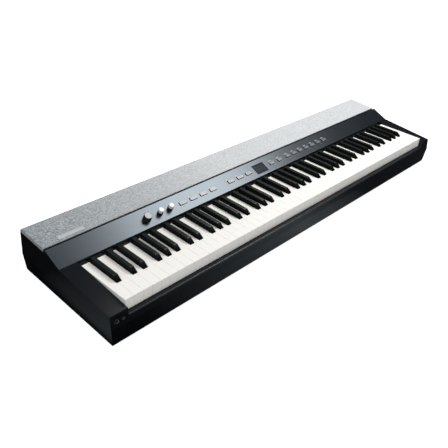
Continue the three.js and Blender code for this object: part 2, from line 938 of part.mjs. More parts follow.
function chassis() {
  const sheet = alongX([
    [chassisFront - chassisFoot, chassisLow],
    [chassisFront + chassisSheet, chassisLow],
    [chassisFront + chassisSheet, shelfHeight - chassisSheet],
    [chassisEnd - chassisSheet, shelfHeight - chassisSheet],
    [chassisEnd - chassisSheet, chassisLow],
    [chassisEnd + chassisFoot, chassisLow],
    [chassisEnd + chassisFoot, chassisLow + chassisSheet],
    [chassisEnd, chassisLow + chassisSheet],
    [chassisEnd, shelfHeight],
    [chassisFront, shelfHeight],
    [chassisFront, chassisLow + chassisSheet],
    [chassisFront - chassisFoot, chassisLow + chassisSheet],
  ], -chassisHalf, chassisHalf);
  const seatHeight = -keyDepth - ridgeDrop;
  const back = place(keysFrame, pivotBack + ridgeWidth / 2, seatHeight);
  const front = place(keysFrame, pivotBack - ridgeWidth / 2, seatHeight);
  const ridge = alongX([
    [back[0], shelfHeight - chassisSheet / 2],
    back,
    ...pivotArc(ridgeRadius).map(([y, z]) => place(keysFrame, y, z)),
    front,
    [front[0], shelfHeight - chassisSheet / 2],
  ], -chassisHalf, chassisHalf);
  const felt = block(-chassisHalf, chassisHalf, feltFront, feltBack, shelfHeight - chassisSheet / 2, stopHeight);
  return joined([sheet, ridge, felt]);
}

function contactBoard() {
  const low = shelfHeight + seatGap;
  const stripFront = contactFront + (contactWidth - contactStripWidth) / 2;
  return joined([
    block(-chassisHalf, chassisHalf, contactFront, contactFront + contactWidth, low, low + boardSheet),
    block(-chassisHalf, chassisHalf, stripFront, stripFront + contactStripWidth, low + boardSheet / 2, stopHeight),
  ]);
}

deck.add(piece('key_chassis', chassis(), 'chassis'));
deck.add(piece('contact_board', contactBoard(), 'circuit'));

// Keys, from plans in [x, y] and side views in [y, z], in the frame of the key tops

const blackKeys = [];
for (let octave = 0; octave * lettersInOctave < whiteCount - 1; octave += 1) {
  for (const [i, share] of blackCentreShares.entries()) {
    const centre = (firstC + (octave - 1) * lettersInOctave + share) * whitePitch - keyboardHalf;
    if (centre > -keyboardHalf && centre < keyboardHalf) {
      blackKeys.push({
        name: `black_key_${blackNames[i]}_${octave}`,
        octave,
        left: centre - blackWidth / 2,
        right: centre + blackWidth / 2,
      });
    }
  }
}

const whiteKeys = Array.from({ length: whiteCount }, (_, i) => {
  const left = i * whitePitch - keyboardHalf + keyGap / 2;
  const right = left + whitePitch - keyGap;
  const octave = Math.floor((i + lettersInOctave - firstC) / lettersInOctave);
  const blackLeft = blackKeys.find((black) => black.left < left && black.right + notchGap > left);
  const blackRight = blackKeys.find((black) => black.left - notchGap < right && black.right > right);
  return {
    name: `white_key_${whiteLetters[i % lettersInOctave]}_${octave}`,
    octave,
    left,
    right,
    tailLeft: blackLeft ? blackLeft.right + notchGap : left,
    tailRight: blackRight ? blackRight.left - notchGap : right,
  };
});

const whiteEnd = pivotBack + whiteTail;
const blackEnd = pivotBack + blackTail;

function whiteKey({ left, right, tailLeft, tailRight }) {
  const notch = blackFront - notchGap;
  const plan = [[left, 0], [right, 0]];
  if (tailRight < right) {
    plan.push([right, notch], [tailRight, notch]);
  }
  plan.push([tailRight, whiteEnd], [tailLeft, whiteEnd]);
  if (tailLeft > left) {
    plan.push([tailLeft, notch], [left, notch]);
  }
  const side = alongX([
    [0, 0],
    [whiteLength, 0],
    [whiteLength, -shankDrop],
    [whiteEnd, -shankDrop],
    [whiteEnd, -keyDepth],
    ...pivotArc(ridgeRadius + seatGap),
    [lipThickness, -keyDepth],
    [lipThickness, -lipHeight],
    [0, -lipHeight],
  ], left - keyGap, right + keyGap);
  return alongZ(plan, -lipHeight - overrun, overrun).intersect(side);
}

function blackKey({ left, right }) {
  const railBack = pivotBack - blackRailSetback;
  const railFront = railBack - blackRailDepth;
  const railTop = blackRailHeight - blackRailLift;
  const back = whiteLength + blackBackSetback;
  return alongX([
    [blackFront, -keyDepth],
    [blackFront, blackNose],
    [blackFront + blackFrontRun, blackHeight],
    [back - blackBackRun, blackHeight],
    [back, -shankDrop],
    [railFront, -shankDrop],
    [railFront, railTop],
    [railBack, railTop],
    [railBack, -shankDrop],
    [blackEnd, -shankDrop],
    [blackEnd, -keyDepth],
    ...pivotArc(ridgeRadius + seatGap),
  ], left, right);
}

// The keys of each side of the middle octave are one moulding, joined by a rail at the back.
function whiteComb(keys) {
  const rail = block(
    keys[0].left,
    keys.at(-1).right,
    whiteEnd - whiteRailDepth,
    whiteEnd,
    -keyDepth,
    -shankDrop,
  );
  return joined([rail, ...keys.map(whiteKey)]);
}

function blackComb(keys) {
  const back = pivotBack - blackRailSetback;
  const rail = block(
    keys[0].left,
    keys.at(-1).right,
    back - blackRailDepth,
    back,
    -blackRailLift,
    blackRailHeight - blackRailLift,
  );
  return joined([rail, ...keys.map(blackKey)]);
}

for (const key of whiteKeys.filter(({ octave }) => octave === middleOctave)) {
  keyBed.add(piece(key.name, whiteKey(key), 'white'));
}
for (const key of blackKeys.filter(({ octave }) => octave === middleOctave)) {
  keyBed.add(piece(key.name, blackKey(key), 'black'));
}
const sections = [
  { side: 'bass', holds: ({ octave }) => octave < middleOctave },
  { side: 'treble', holds: ({ octave }) => octave > middleOctave },
];
for (const { side, holds } of sections) {
  keyBed.add(piece(`${side}_white_keys`, whiteComb(whiteKeys.filter(holds)), 'white'));
  keyBed.add(piece(`${side}_black_keys`, blackComb(blackKeys.filter(holds)), 'black'));
}

export default piano;
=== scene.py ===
"""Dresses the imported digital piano: forms, finishes, light and camera for Blender 4.5.

Every size is in millimetres until a mesh is finished, which turns it into metres in the frame
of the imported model: +X to the treble end, the player at -Y, +Z up.
"""

import json
import logging
import math
from dataclasses import dataclass
from enum import Enum
from functools import cache
from itertools import product
from typing import Callable, Iterable, Sequence

import bmesh
import bpy
from mathutils import Matrix, Vector

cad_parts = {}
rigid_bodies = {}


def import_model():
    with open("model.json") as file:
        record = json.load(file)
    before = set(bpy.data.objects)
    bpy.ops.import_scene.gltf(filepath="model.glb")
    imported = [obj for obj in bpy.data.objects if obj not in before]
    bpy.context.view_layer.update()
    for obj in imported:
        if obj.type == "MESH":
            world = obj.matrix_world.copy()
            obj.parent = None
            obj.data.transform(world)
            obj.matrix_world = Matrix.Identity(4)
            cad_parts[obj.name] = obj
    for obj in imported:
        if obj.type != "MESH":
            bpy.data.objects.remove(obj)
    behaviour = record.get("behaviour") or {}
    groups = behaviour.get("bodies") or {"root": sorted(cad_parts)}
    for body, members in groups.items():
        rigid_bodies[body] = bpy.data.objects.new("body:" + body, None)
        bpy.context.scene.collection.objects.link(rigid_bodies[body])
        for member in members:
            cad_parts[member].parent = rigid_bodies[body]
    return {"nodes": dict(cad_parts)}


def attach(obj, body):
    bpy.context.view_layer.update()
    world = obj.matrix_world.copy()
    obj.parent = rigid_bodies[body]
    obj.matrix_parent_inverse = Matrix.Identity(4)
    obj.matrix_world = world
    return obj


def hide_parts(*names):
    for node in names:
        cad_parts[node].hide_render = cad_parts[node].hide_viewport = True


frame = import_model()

MM = 0.001
LOG = logging.getLogger("piano")
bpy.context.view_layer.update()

# How a form is finished: vertices this near in millimetres merge, and faces this flat join. Where a
# form says which of its edges are tight, edges above the crease angle are softened, and the tight
# ones by this share of the others' width.
MERGE_REACH = 0.001
FLAT_DEGREES = 0.3
CREASE_DEGREES = 25.0
TIGHT_SHARE = 0.25

Colour = tuple[float, float, float]
Point = tuple[float, float, float]
Ramp = tuple[float, float, float, float]
Outline = Sequence[tuple[float, float]]
Face = bmesh.types.BMFace
Vert = bmesh.types.BMVert
Material = bpy.types.Material
Mesh = bpy.types.Mesh
Node = bpy.types.Node
Socket = bpy.types.NodeSocket
Thing = bpy.types.Object
Tree = bpy.types.NodeTree


class Slot(Enum):
    """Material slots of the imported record."""

    CASE = "case"
    TRAY = "tray"
    PANEL = "panel"
    CLOTH = "cloth"
    BOARD = "board"
    BADGE = "badge"
    WHITE = "white"
    BLACK = "black"
    BUTTON = "button"
    KNOB = "knob"
    DISPLAY = "display"
    FELT = "felt"
    CIRCUIT = "circuit"
    CHASSIS = "chassis"
    SPEAKER = "speaker"
    SOCKET = "socket"
    RUBBER = "rubber"


class Along(Enum):
    """The axis that an outline is drawn out along."""

    X = "x"
    Z = "z"


# Node trees


class Board:
    """Adds and links the nodes of one tree."""

    def __init__(self, tree: Tree) -> None:
        """Takes the tree to fill."""
        self.tree = tree

    def fill(self, node: Node, inputs: dict) -> Node:
        """Sets or links a node's inputs.

        Args:
            node: The node.
            inputs: Input name or index, to a value or to the output socket that feeds it.

        Returns:
            The same node.
        """
        for name, value in inputs.items():
            socket = node.inputs[name]
            if isinstance(value, Socket):
                self.tree.links.new(value, socket)
            else:
                socket.default_value = (*value, 1.0) if socket.type == "RGBA" else value
        return node

    def add(self, kind: str, inputs: dict | None = None, **settings: object) -> Node:
        """Adds one node.

        Args:
            kind: The node's type name.
            inputs: Its inputs, as fill takes them.
            settings: Properties of the node itself.

        Returns:
            The new node.
        """
        node = self.tree.nodes.new(kind)
        for name, value in settings.items():
            setattr(node, name, value)
        return self.fill(node, inputs or {})

    def math(self, operation: str, first: object, second: object = 0.0) -> Socket:
        """Adds a Math node and returns its result."""
        return self.add("ShaderNodeMath", {0: first, 1: second}, operation=operation).outputs[0]

    def times(self, first: object, second: object) -> Socket:
        """Multiplies two values."""
        return self.math("MULTIPLY", first, second)

    def plus(self, first: object, second: object) -> Socket:
        """Adds two values."""
        return self.math("ADD", first, second)

    def ramp(self, value: object, low: float, high: float, to_low: float = 0.0,
             to_high: float = 1.0) -> Socket:
        """Maps the range from low to high to the one from to_low to to_high, and returns the result."""
        names = {"Value": value, "From Min": low, "From Max": high, "To Min": to_low, "To Max": to_high}
        return self.add("ShaderNodeMapRange", names).outputs[0]

    def blend(self, share: object, first: object, second: object) -> Socket:
        """Mixes two colours and returns the mixed one."""
        return self.add("ShaderNodeMix", {0: share, 6: first, 7: second}, data_type="RGBA").outputs[2]

    def place(self, kind: str = "Object") -> Socket:
        """Returns the coordinates of this kind."""
        return self.add("ShaderNodeTexCoord").outputs[kind]

    def noise(self, place: Socket, scale: object, detail: float, rough: float = 0.5) -> Socket:
        """Adds a noise texture and returns its value."""
        inputs = {"Vector": place, "Scale": scale, "Detail": detail, "Roughness": rough}
        return self.add("ShaderNodeTexNoise", inputs).outputs[0]


class Group(Board):
    """A shader node group under construction."""

    def __init__(self, name: str, colours: Sequence[str], values: Sequence[str], results: Sequence[str],
                 vectors: Sequence[str] = ()) -> None:
        """Starts the group.

        Args:
            name: The group's name.
            colours: The names of its colour inputs.
            values: The names of its number inputs.
            results: The names of its outputs, of which Colour is a colour and each other a number.
            vectors: The names of its vector inputs.
        """
        super().__init__(bpy.data.node_groups.new(name, "ShaderNodeTree"))
        sockets = [(label, "INPUT", kind) for kind, labels in (
            ("Vector", vectors), ("Color", colours), ("Float", values)) for label in labels]
        sockets += [(label, "OUTPUT", "Color" if label == "Colour" else "Float") for label in results]
        for label, way, kind in sockets:
            self.tree.interface.new_socket(label, in_out=way, socket_type=f"NodeSocket{kind}")
        self.given = self.add("NodeGroupInput").outputs

    def make(self, results: dict[str, Socket]) -> Tree:
        """Puts the results out and returns the finished tree."""
        self.add("NodeGroupOutput", results)
        return self.tree


@cache
def grain_group() -> Tree:
    """Builds the fine grain of a moulding, with a soft colour mottle and handling marks.

    Returns:
        The group's tree.
    """
    group = Group("Moulded grain", ("Colour", "Pale"), ("Grain", "Mottle", "Roughness", "Marks"),
                  ("Colour", "Roughness", "Height"))
    given, place = group.given, group.place()
    fine = group.add("ShaderNodeTexVoronoi", {"Vector": place, "Scale": given["Grain"]}).outputs["Distance"]
    soft = group.noise(place, 38.0, 4.0)
    wide = group.noise(place, 9.0, 6.0, 0.65)
    speck = group.noise(place, given["Grain"], 2.0)
    mottle = group.times(group.ramp(soft, 0.3, 0.7), given["Mottle"])
    specks = group.times(group.ramp(speck, 0.45, 0.75), given["Mottle"])
    marks = group.times(group.ramp(wide, 0.4, 0.7, -1.0, 1.0), given["Marks"])
    return group.make({
        "Colour": group.blend(group.plus(mottle, group.times(specks, 0.5)), given["Colour"], given["Pale"]),
        "Roughness": group.plus(given["Roughness"], marks),
        "Height": group.plus(fine, group.times(speck, 0.6)),
    })


@cache
def edge_group() -> Tree:
    """Builds the slight paling of handled edges.

    Returns:
        The group's tree.
    """
    group = Group("Edge wear", ("Colour", "Worn"), ("Amount",), ("Colour",))
    edge = group.ramp(group.add("ShaderNodeNewGeometry").outputs["Pointiness"], 0.52, 0.6)
    patch = group.ramp(group.noise(group.place(), 120.0, 5.0), 0.35, 0.65, 0.4, 1.0)
    share = group.times(group.times(edge, patch), group.given["Amount"])
    return group.make({"Colour": group.blend(share, group.given["Colour"], group.given["Worn"])})


@cache
def weave_group() -> Tree:
    """Builds a plain weave of heathered yarn.

    Returns:
        The group's tree.
    """
    group = Group("Heathered weave", ("Pale", "Dark"), ("Threads", "Heather"), ("Colour", "Height"),
                  ("Vector",))
    given = group.given
    parts = group.add("ShaderNodeSeparateXYZ", {"Vector": given["Vector"]}).outputs
    across, along = (group.math("SINE", group.times(part, given["Threads"])) for part in parts[:2])
    threads = group.plus(group.math("ABSOLUTE", across), group.math("ABSOLUTE", along))
    height = group.plus(group.times(threads, 0.5), group.times(group.times(across, along), 0.5))
    shares = group.times(group.ramp(height, -0.2, 1.4, 1.0, 0.0), 0.25)
    for scale, detail, low, high, weight in (
        (60.0, 3.0, 0.38, 0.66, 0.1), (270.0, 4.0, 0.34, 0.66, 0.68), (900.0, 2.0, 0.35, 0.7, 0.55),
    ):
        yarn = group.ramp(group.noise(given["Vector"], scale, detail), low, high)
        shares = group.plus(shares, group.times(group.times(yarn, given["Heather"]), weight))
    return group.make({"Colour": group.blend(shares, given["Pale"], given["Dark"]), "Height": height})


@cache
def brushed_group() -> Tree:
    """Builds the fine streaks of brushed or rolled metal, drawn out along X.

    Returns:
        The group's tree.
    """
    group = Group("Brushed streaks", ("Colour", "Streak"), ("Amount", "Roughness", "Spread"),
                  ("Colour", "Roughness", "Height"))
    given, place = group.given, group.place()
    drawn = group.add("ShaderNodeMapping", {"Vector": place, "Scale": (6.0, 900.0, 900.0)}).outputs[0]
    streak, fleck = group.noise(drawn, 1.0, 3.0), group.noise(place, 2600.0, 1.0)
    both = group.plus(group.times(streak, 0.6), group.times(fleck, 0.4))
    share = group.times(group.ramp(both, 0.4, 0.6), given["Amount"])
    swing = group.times(group.ramp(group.noise(place, 7.0, 5.0), 0.35, 0.65, -1.0, 1.0), given["Spread"])
    return group.make({
        "Colour": group.blend(share, given["Colour"], given["Streak"]), "Height": both,
        "Roughness": group.plus(given["Roughness"], swing),
    })


# Finishes


class Surface(Board):
    """A material under construction, with its Principled BSDF."""

    def __init__(self, name: str) -> None:
        """Starts a material.

        Args:
            name: The material's name.
        """
        self.material = bpy.data.materials.new(name)
        self.material.use_nodes = True
        super().__init__(self.material.node_tree)

    def shared(self, tree: Tree, inputs: dict) -> bpy.types.NodeOutputs:
        """Places a shared group in the material with its own values, and returns its outputs."""
        return self.fill(self.add("ShaderNodeGroup", node_tree=tree), inputs).outputs

    def bump(self, height: Socket, depth: float, strength: float) -> Socket:
        """Turns a height with this full depth in millimetres into a normal."""
        inputs = {"Height": height, "Distance": depth * MM, "Strength": strength}
        return self.add("ShaderNodeBump", inputs).outputs[0]

    def make(self, inputs: dict) -> Material:
        """Sets or links the shader's own inputs, and returns the material."""
        self.fill(self.tree.nodes["Principled BSDF"], inputs)
        return self.material


@dataclass(frozen=True)
class Moulding:
    """A moulded plastic, rubber or lacquer finish."""

    name: str
    colour: Colour
    pale: Colour
    roughness: float = 0.6
    specular: float = 0.3
    mottle: float = 0.4
    marks: float = 0.05
    grain: float = 0.5
    relief: float = 0.05
    relief_share: float = 0.35
    wear: float = 0.3
    bleed: float = 0.0
    bleed_depth: float = 2.0

    def make(self) -> Material:
        """Builds the material.

        Returns:
            The finished material.
        """
        surface = Surface(self.name)
        grain = surface.shared(grain_group(), {
            "Colour": self.colour, "Pale": self.pale, "Grain": 1 / (self.grain * MM), "Mottle": self.mottle,
            "Roughness": self.roughness, "Marks": self.marks,
        })
        worn = surface.shared(edge_group(), {
            "Colour": grain["Colour"], "Worn": self.pale, "Amount": self.wear,
        })
        inputs = {
            "Base Color": worn["Colour"], "Roughness": grain["Roughness"],
            "Specular IOR Level": self.specular,
            "Normal": surface.bump(grain["Height"], self.relief, self.relief_share),
        }
        if self.bleed:
            inputs |= {"Subsurface Weight": self.bleed, "Subsurface Scale": self.bleed_depth * MM}
        return surface.make(inputs)


@dataclass(frozen=True)
class Metal:
    """A satin, brushed or plated metal finish."""

    name: str
    colour: Colour
    streak: Colour
    roughness: float = 0.3
    spread: float = 0.03
    amount: float = 0.5
    relief: float = 0.01
    relief_share: float = 0.15

    def make(self) -> Material:
        """Builds the material.

        Returns:
            The finished material.
        """
        surface = Surface(self.name)
        streaks = surface.shared(brushed_group(), {
            "Colour": self.colour, "Streak": self.streak, "Amount": self.amount,
            "Roughness": self.roughness, "Spread": self.spread,
        })
        return surface.make({
            "Base Color": streaks["Colour"], "Roughness": streaks["Roughness"], "Metallic": 1.0,
            "Normal": surface.bump(streaks["Height"], self.relief, self.relief_share),
        })


@dataclass(frozen=True)
class Fabric:
    """A woven or felted fabric finish, which may be painted lighter towards the treble end: a painted sheen
    that stands in for the cloth's brighter sheen there.
    """

    name: str
    pale: Colour
    dark: Colour
    thread: float
    heather: float
    sheen: float
    relief: float
    treble_painted_light: tuple[Colour, Colour] | None = None
    painted_light_span: tuple[float, float] = (-0.65, -0.1)
    roughness: float = 0.52
    specular: float = 0.6
    relief_share: float = 0.6
    sheen_roughness: float = 0.45

    def make(self) -> Material:
        """Builds the material.

        Returns:
            The finished material.
        """
        surface = Surface(self.name)
        across, along, down = surface.add("ShaderNodeSeparateXYZ", {0: surface.place()}).outputs
        folded = surface.add("ShaderNodeCombineXYZ", {
            0: surface.plus(across, down), 1: surface.plus(along, down), 2: down,
        }).outputs[0]
        colours: list = [self.pale, self.dark]
        # Painted sheen: the colours blend towards lighter ones along X, for the cloth's brighter sheen
        # towards the treble end.
        if self.treble_painted_light:
            share = surface.ramp(across, *self.painted_light_span)
            colours = [surface.blend(share, here, there) for here, there in zip(colours, self.treble_painted_light)]
        weave = surface.shared(weave_group(), {
            "Vector": folded, "Pale": colours[0], "Dark": colours[1],
            "Threads": math.pi / (self.thread * MM), "Heather": self.heather,
        })
        return surface.make({
            "Base Color": weave["Colour"], "Roughness": self.roughness, "Specular IOR Level": self.specular,
            "Normal": surface.bump(weave["Height"], self.relief, self.relief_share),
            "Sheen Weight": self.sheen, "Sheen Roughness": self.sheen_roughness,
        })


FINISHES: dict[str, Moulding | Metal | Fabric] = {
    "case": Moulding("Outer moulding", (0.0022, 0.003, 0.004), (0.0048, 0.0062, 0.008),
                     roughness=0.38, specular=0.22),
    "tray": Moulding("Tray moulding", (0.0018, 0.0023, 0.003), (0.004, 0.005, 0.0062),
                     roughness=0.38, specular=0.22),
    # Painted highlight: the slip's rounded nose is lighter in colour than the rest of the slip, besides being
    # glossier.
    "nose": Moulding("Slip nose", (0.01, 0.013, 0.014), (0.016, 0.02, 0.022), roughness=0.28, specular=0.55),
    "panel": Metal("Graphite panel", (0.084, 0.0945, 0.103), (0.09, 0.1005, 0.109),
                   roughness=0.3, spread=0.01, relief=0.004, relief_share=0.1),
    # The panel's lips are painted dark rather than in the panel's metal. On the back shelf under the lid's
    # front edge this is painted shade, deepening the gap there.
    "lip": Moulding("Panel lips", (0.02, 0.023, 0.026), (0.028, 0.031, 0.035), roughness=0.6, specular=0.2),
    # Painted sheen: the cloth's colours lighten towards the treble end, for its brighter sheen there.
    "cloth": Fabric("Speaker cloth", (0.56, 0.615, 0.635), (0.06, 0.071, 0.077),
                    thread=0.9, heather=0.8, sheen=0.5, relief=0.25,
                    treble_painted_light=((0.75, 0.765, 0.775), (0.385, 0.397, 0.4))),
    # Painted shade: the cloth's front fall is painted near-black for the shade in the gap between the lid and
    # the panel.
    "hem": Moulding("Black hem", (0.006, 0.006, 0.007), (0.016, 0.017, 0.018),
                    roughness=0.9, specular=0.1, grain=0.9),
    "board": Moulding("Lid board", (0.05, 0.043, 0.036), (0.1, 0.085, 0.07),
                      roughness=0.75, specular=0.2, grain=0.9),
    "badge": Moulding("Bare plate", (0.45, 0.465, 0.47), (0.54, 0.55, 0.555),
                      roughness=0.3, specular=0.5, marks=0.04, grain=0.3, relief=0.01, relief_share=0.1),
    "white": Moulding("White keys", (0.865, 0.845, 0.8), (0.89, 0.875, 0.84),
                      roughness=0.3, specular=0.45, mottle=0.3, marks=0.03, grain=0.8, relief=0.02,
                      relief_share=0.12, wear=0.0, bleed=0.05),
    "black": Moulding("Black keys", (0.0018, 0.0026, 0.0023), (0.02, 0.025, 0.023),
                      roughness=0.34, specular=0.3, mottle=0.1, grain=0.35, relief=0.03,
                      relief_share=0.3, wear=1.0),
    # Painted shade: the black keys' sides, sloping fronts and softened edges get this darker, duller copy of
    # the black keys' finish, so they read as shaded and lose their highlights.
    "black_painted_shade": Moulding("Black key sides", (0.0016, 0.002, 0.0018), (0.004, 0.005, 0.0045),
                           roughness=0.5, specular=0.05, mottle=0.3, grain=0.35, relief=0.03,
                           relief_share=0.3, wear=0.2),
    "shank": Moulding("Key shanks", (0.012, 0.012, 0.013), (0.03, 0.03, 0.03), roughness=0.7, specular=0.15),
    "button_top": Moulding("Button tops", (0.105, 0.115, 0.125), (0.135, 0.146, 0.156),
                           roughness=0.32, specular=1.0, mottle=0.3, marks=0.03, grain=0.4, relief=0.01,
                           relief_share=0.2),
    "button_side": Moulding("Button sides", (0.012, 0.013, 0.015), (0.03, 0.03, 0.032),
                            roughness=0.5, specular=0.25),
    "knob": Moulding("Knob body", (0.010, 0.012, 0.014), (0.03, 0.033, 0.037),
                     roughness=0.45, mottle=0.3, grain=0.4, relief=0.03, relief_share=0.3, wear=0.35),
    "knob_cap": Moulding("Volume cap", (0.4, 0.425, 0.44), (0.5, 0.52, 0.53),
                         roughness=0.4, specular=0.4, mottle=0.3),
    "knob_top": Moulding("Tone cap", (0.8, 0.81, 0.82), (0.88, 0.88, 0.88),
                         roughness=0.32, specular=0.45, mottle=0.3, marks=0.03),
    "knob_ring": Moulding("Tone ring", (0.2, 0.21, 0.22), (0.3, 0.31, 0.32),
                          roughness=0.4, specular=0.4, mottle=0.3),
    "knob_line": Moulding("Knob pointer", (0.75, 0.76, 0.77), (0.85, 0.85, 0.85), roughness=0.5, mottle=0.2),
    "display": Moulding("Smoked window", (0.009, 0.014, 0.02), (0.014, 0.02, 0.027),
                        roughness=0.3, specular=0.05, mottle=0.2, marks=0.03, relief=0.01,
                        relief_share=0.05, wear=0.1),
    "segment": Moulding("Display segments", (0.04, 0.05, 0.06), (0.06, 0.072, 0.085),
                        roughness=0.5, specular=0.15, mottle=0.3),
    "print": Moulding("Panel print", (0.42, 0.44, 0.47), (0.55, 0.57, 0.6), roughness=0.55, marks=0.04),
    "lamp": Moulding("Indicator lamps", (0.05, 0.014, 0.012), (0.09, 0.03, 0.025),
                     roughness=0.25, specular=0.5, mottle=0.3),
    "felt": Fabric("Black felt", (0.012, 0.012, 0.013), (0.004, 0.004, 0.005),
                   thread=0.5, heather=0.5, sheen=0.2, relief=0.3),
    "circuit": Moulding("Solder mask", (0.012, 0.07, 0.03), (0.05, 0.16, 0.08),
                        roughness=0.4, specular=0.5, mottle=0.6, grain=2.5),
    "chassis": Metal("Chassis sheet", (0.42, 0.43, 0.45), (0.55, 0.56, 0.58), roughness=0.4, spread=0.05),
    "speaker": Moulding("Speaker paint", (0.012, 0.012, 0.013), (0.03, 0.03, 0.032), roughness=0.7),
    "socket": Moulding("Socket body", (0.014, 0.015, 0.016), (0.03, 0.03, 0.03), roughness=0.5),
    "ring": Metal("Socket ring", (0.42, 0.43, 0.44), (0.6, 0.61, 0.62),
                  roughness=0.25, spread=0.05, amount=0.4),
    "screw": Metal("Blackened screw", (0.06, 0.06, 0.065), (0.12, 0.12, 0.125), roughness=0.4, spread=0.06),
    "rubber": Moulding("Foot rubber", (0.011, 0.011, 0.011), (0.025, 0.025, 0.025),
                       roughness=0.9, specular=0.15, marks=0.04),
}


@cache
def painted(name: str) -> Material:
    """Returns the named finish's material, made on first use."""
    return FINISHES[name].make()


# Forms


def link(thing: Thing) -> Thing:
    """Puts an object in the scene and returns it."""
    bpy.context.scene.collection.objects.link(thing)
    return thing


@dataclass(frozen=True)
class Piece:
    """What a piece of the model is called, belongs to, rides on, stands for and is dressed in.

    Attributes:
        name: The piece's name.
        slot: The record's slot that it belongs to.
        paints: The names of its finishes.
        node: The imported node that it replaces, or nothing.
        body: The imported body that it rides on.
        bevel: The width of its softened edges, or zero.
        segments: How many steps a softened edge has.
        sharp: The angle in degrees above which an edge of a piece without a bevel stays sharp.
        softened_from: The angle in degrees above which an edge of a piece with a bevel is softened.
    """

    name: str
    slot: Slot
    paints: tuple[str, ...]
    node: str = ""
    body: str = "case"
    bevel: float = 0.0
    segments: int = 2
    sharp: float = 35.0
    softened_from: float = 30.0

    def make(self, data: Mesh, weighted: bool = False) -> Thing:
        """Turns a finished mesh in metres into the piece.

        Args:
            data: The mesh.
            weighted: Whether the mesh says how soft each edge is.

        Returns:
            The piece.
        """
        if not data.materials:
            for name in self.paints:
                data.materials.append(painted(name))
        data.shade_smooth()
        thing = link(bpy.data.objects.new(self.name, data))
        if self.bevel:
            soft = thing.modifiers.new("Soft edges", "BEVEL")
            soft.width = self.bevel * MM
            soft.segments = self.segments
            soft.limit_method = "WEIGHT" if weighted else "ANGLE"
            soft.angle_limit = math.radians(self.softened_from)
            soft.harden_normals = True
        else:
            data.set_sharp_from_angle(angle=math.radians(self.sharp))
        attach(thing, self.body)
        if self.node:
            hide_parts(self.node)
        return thing


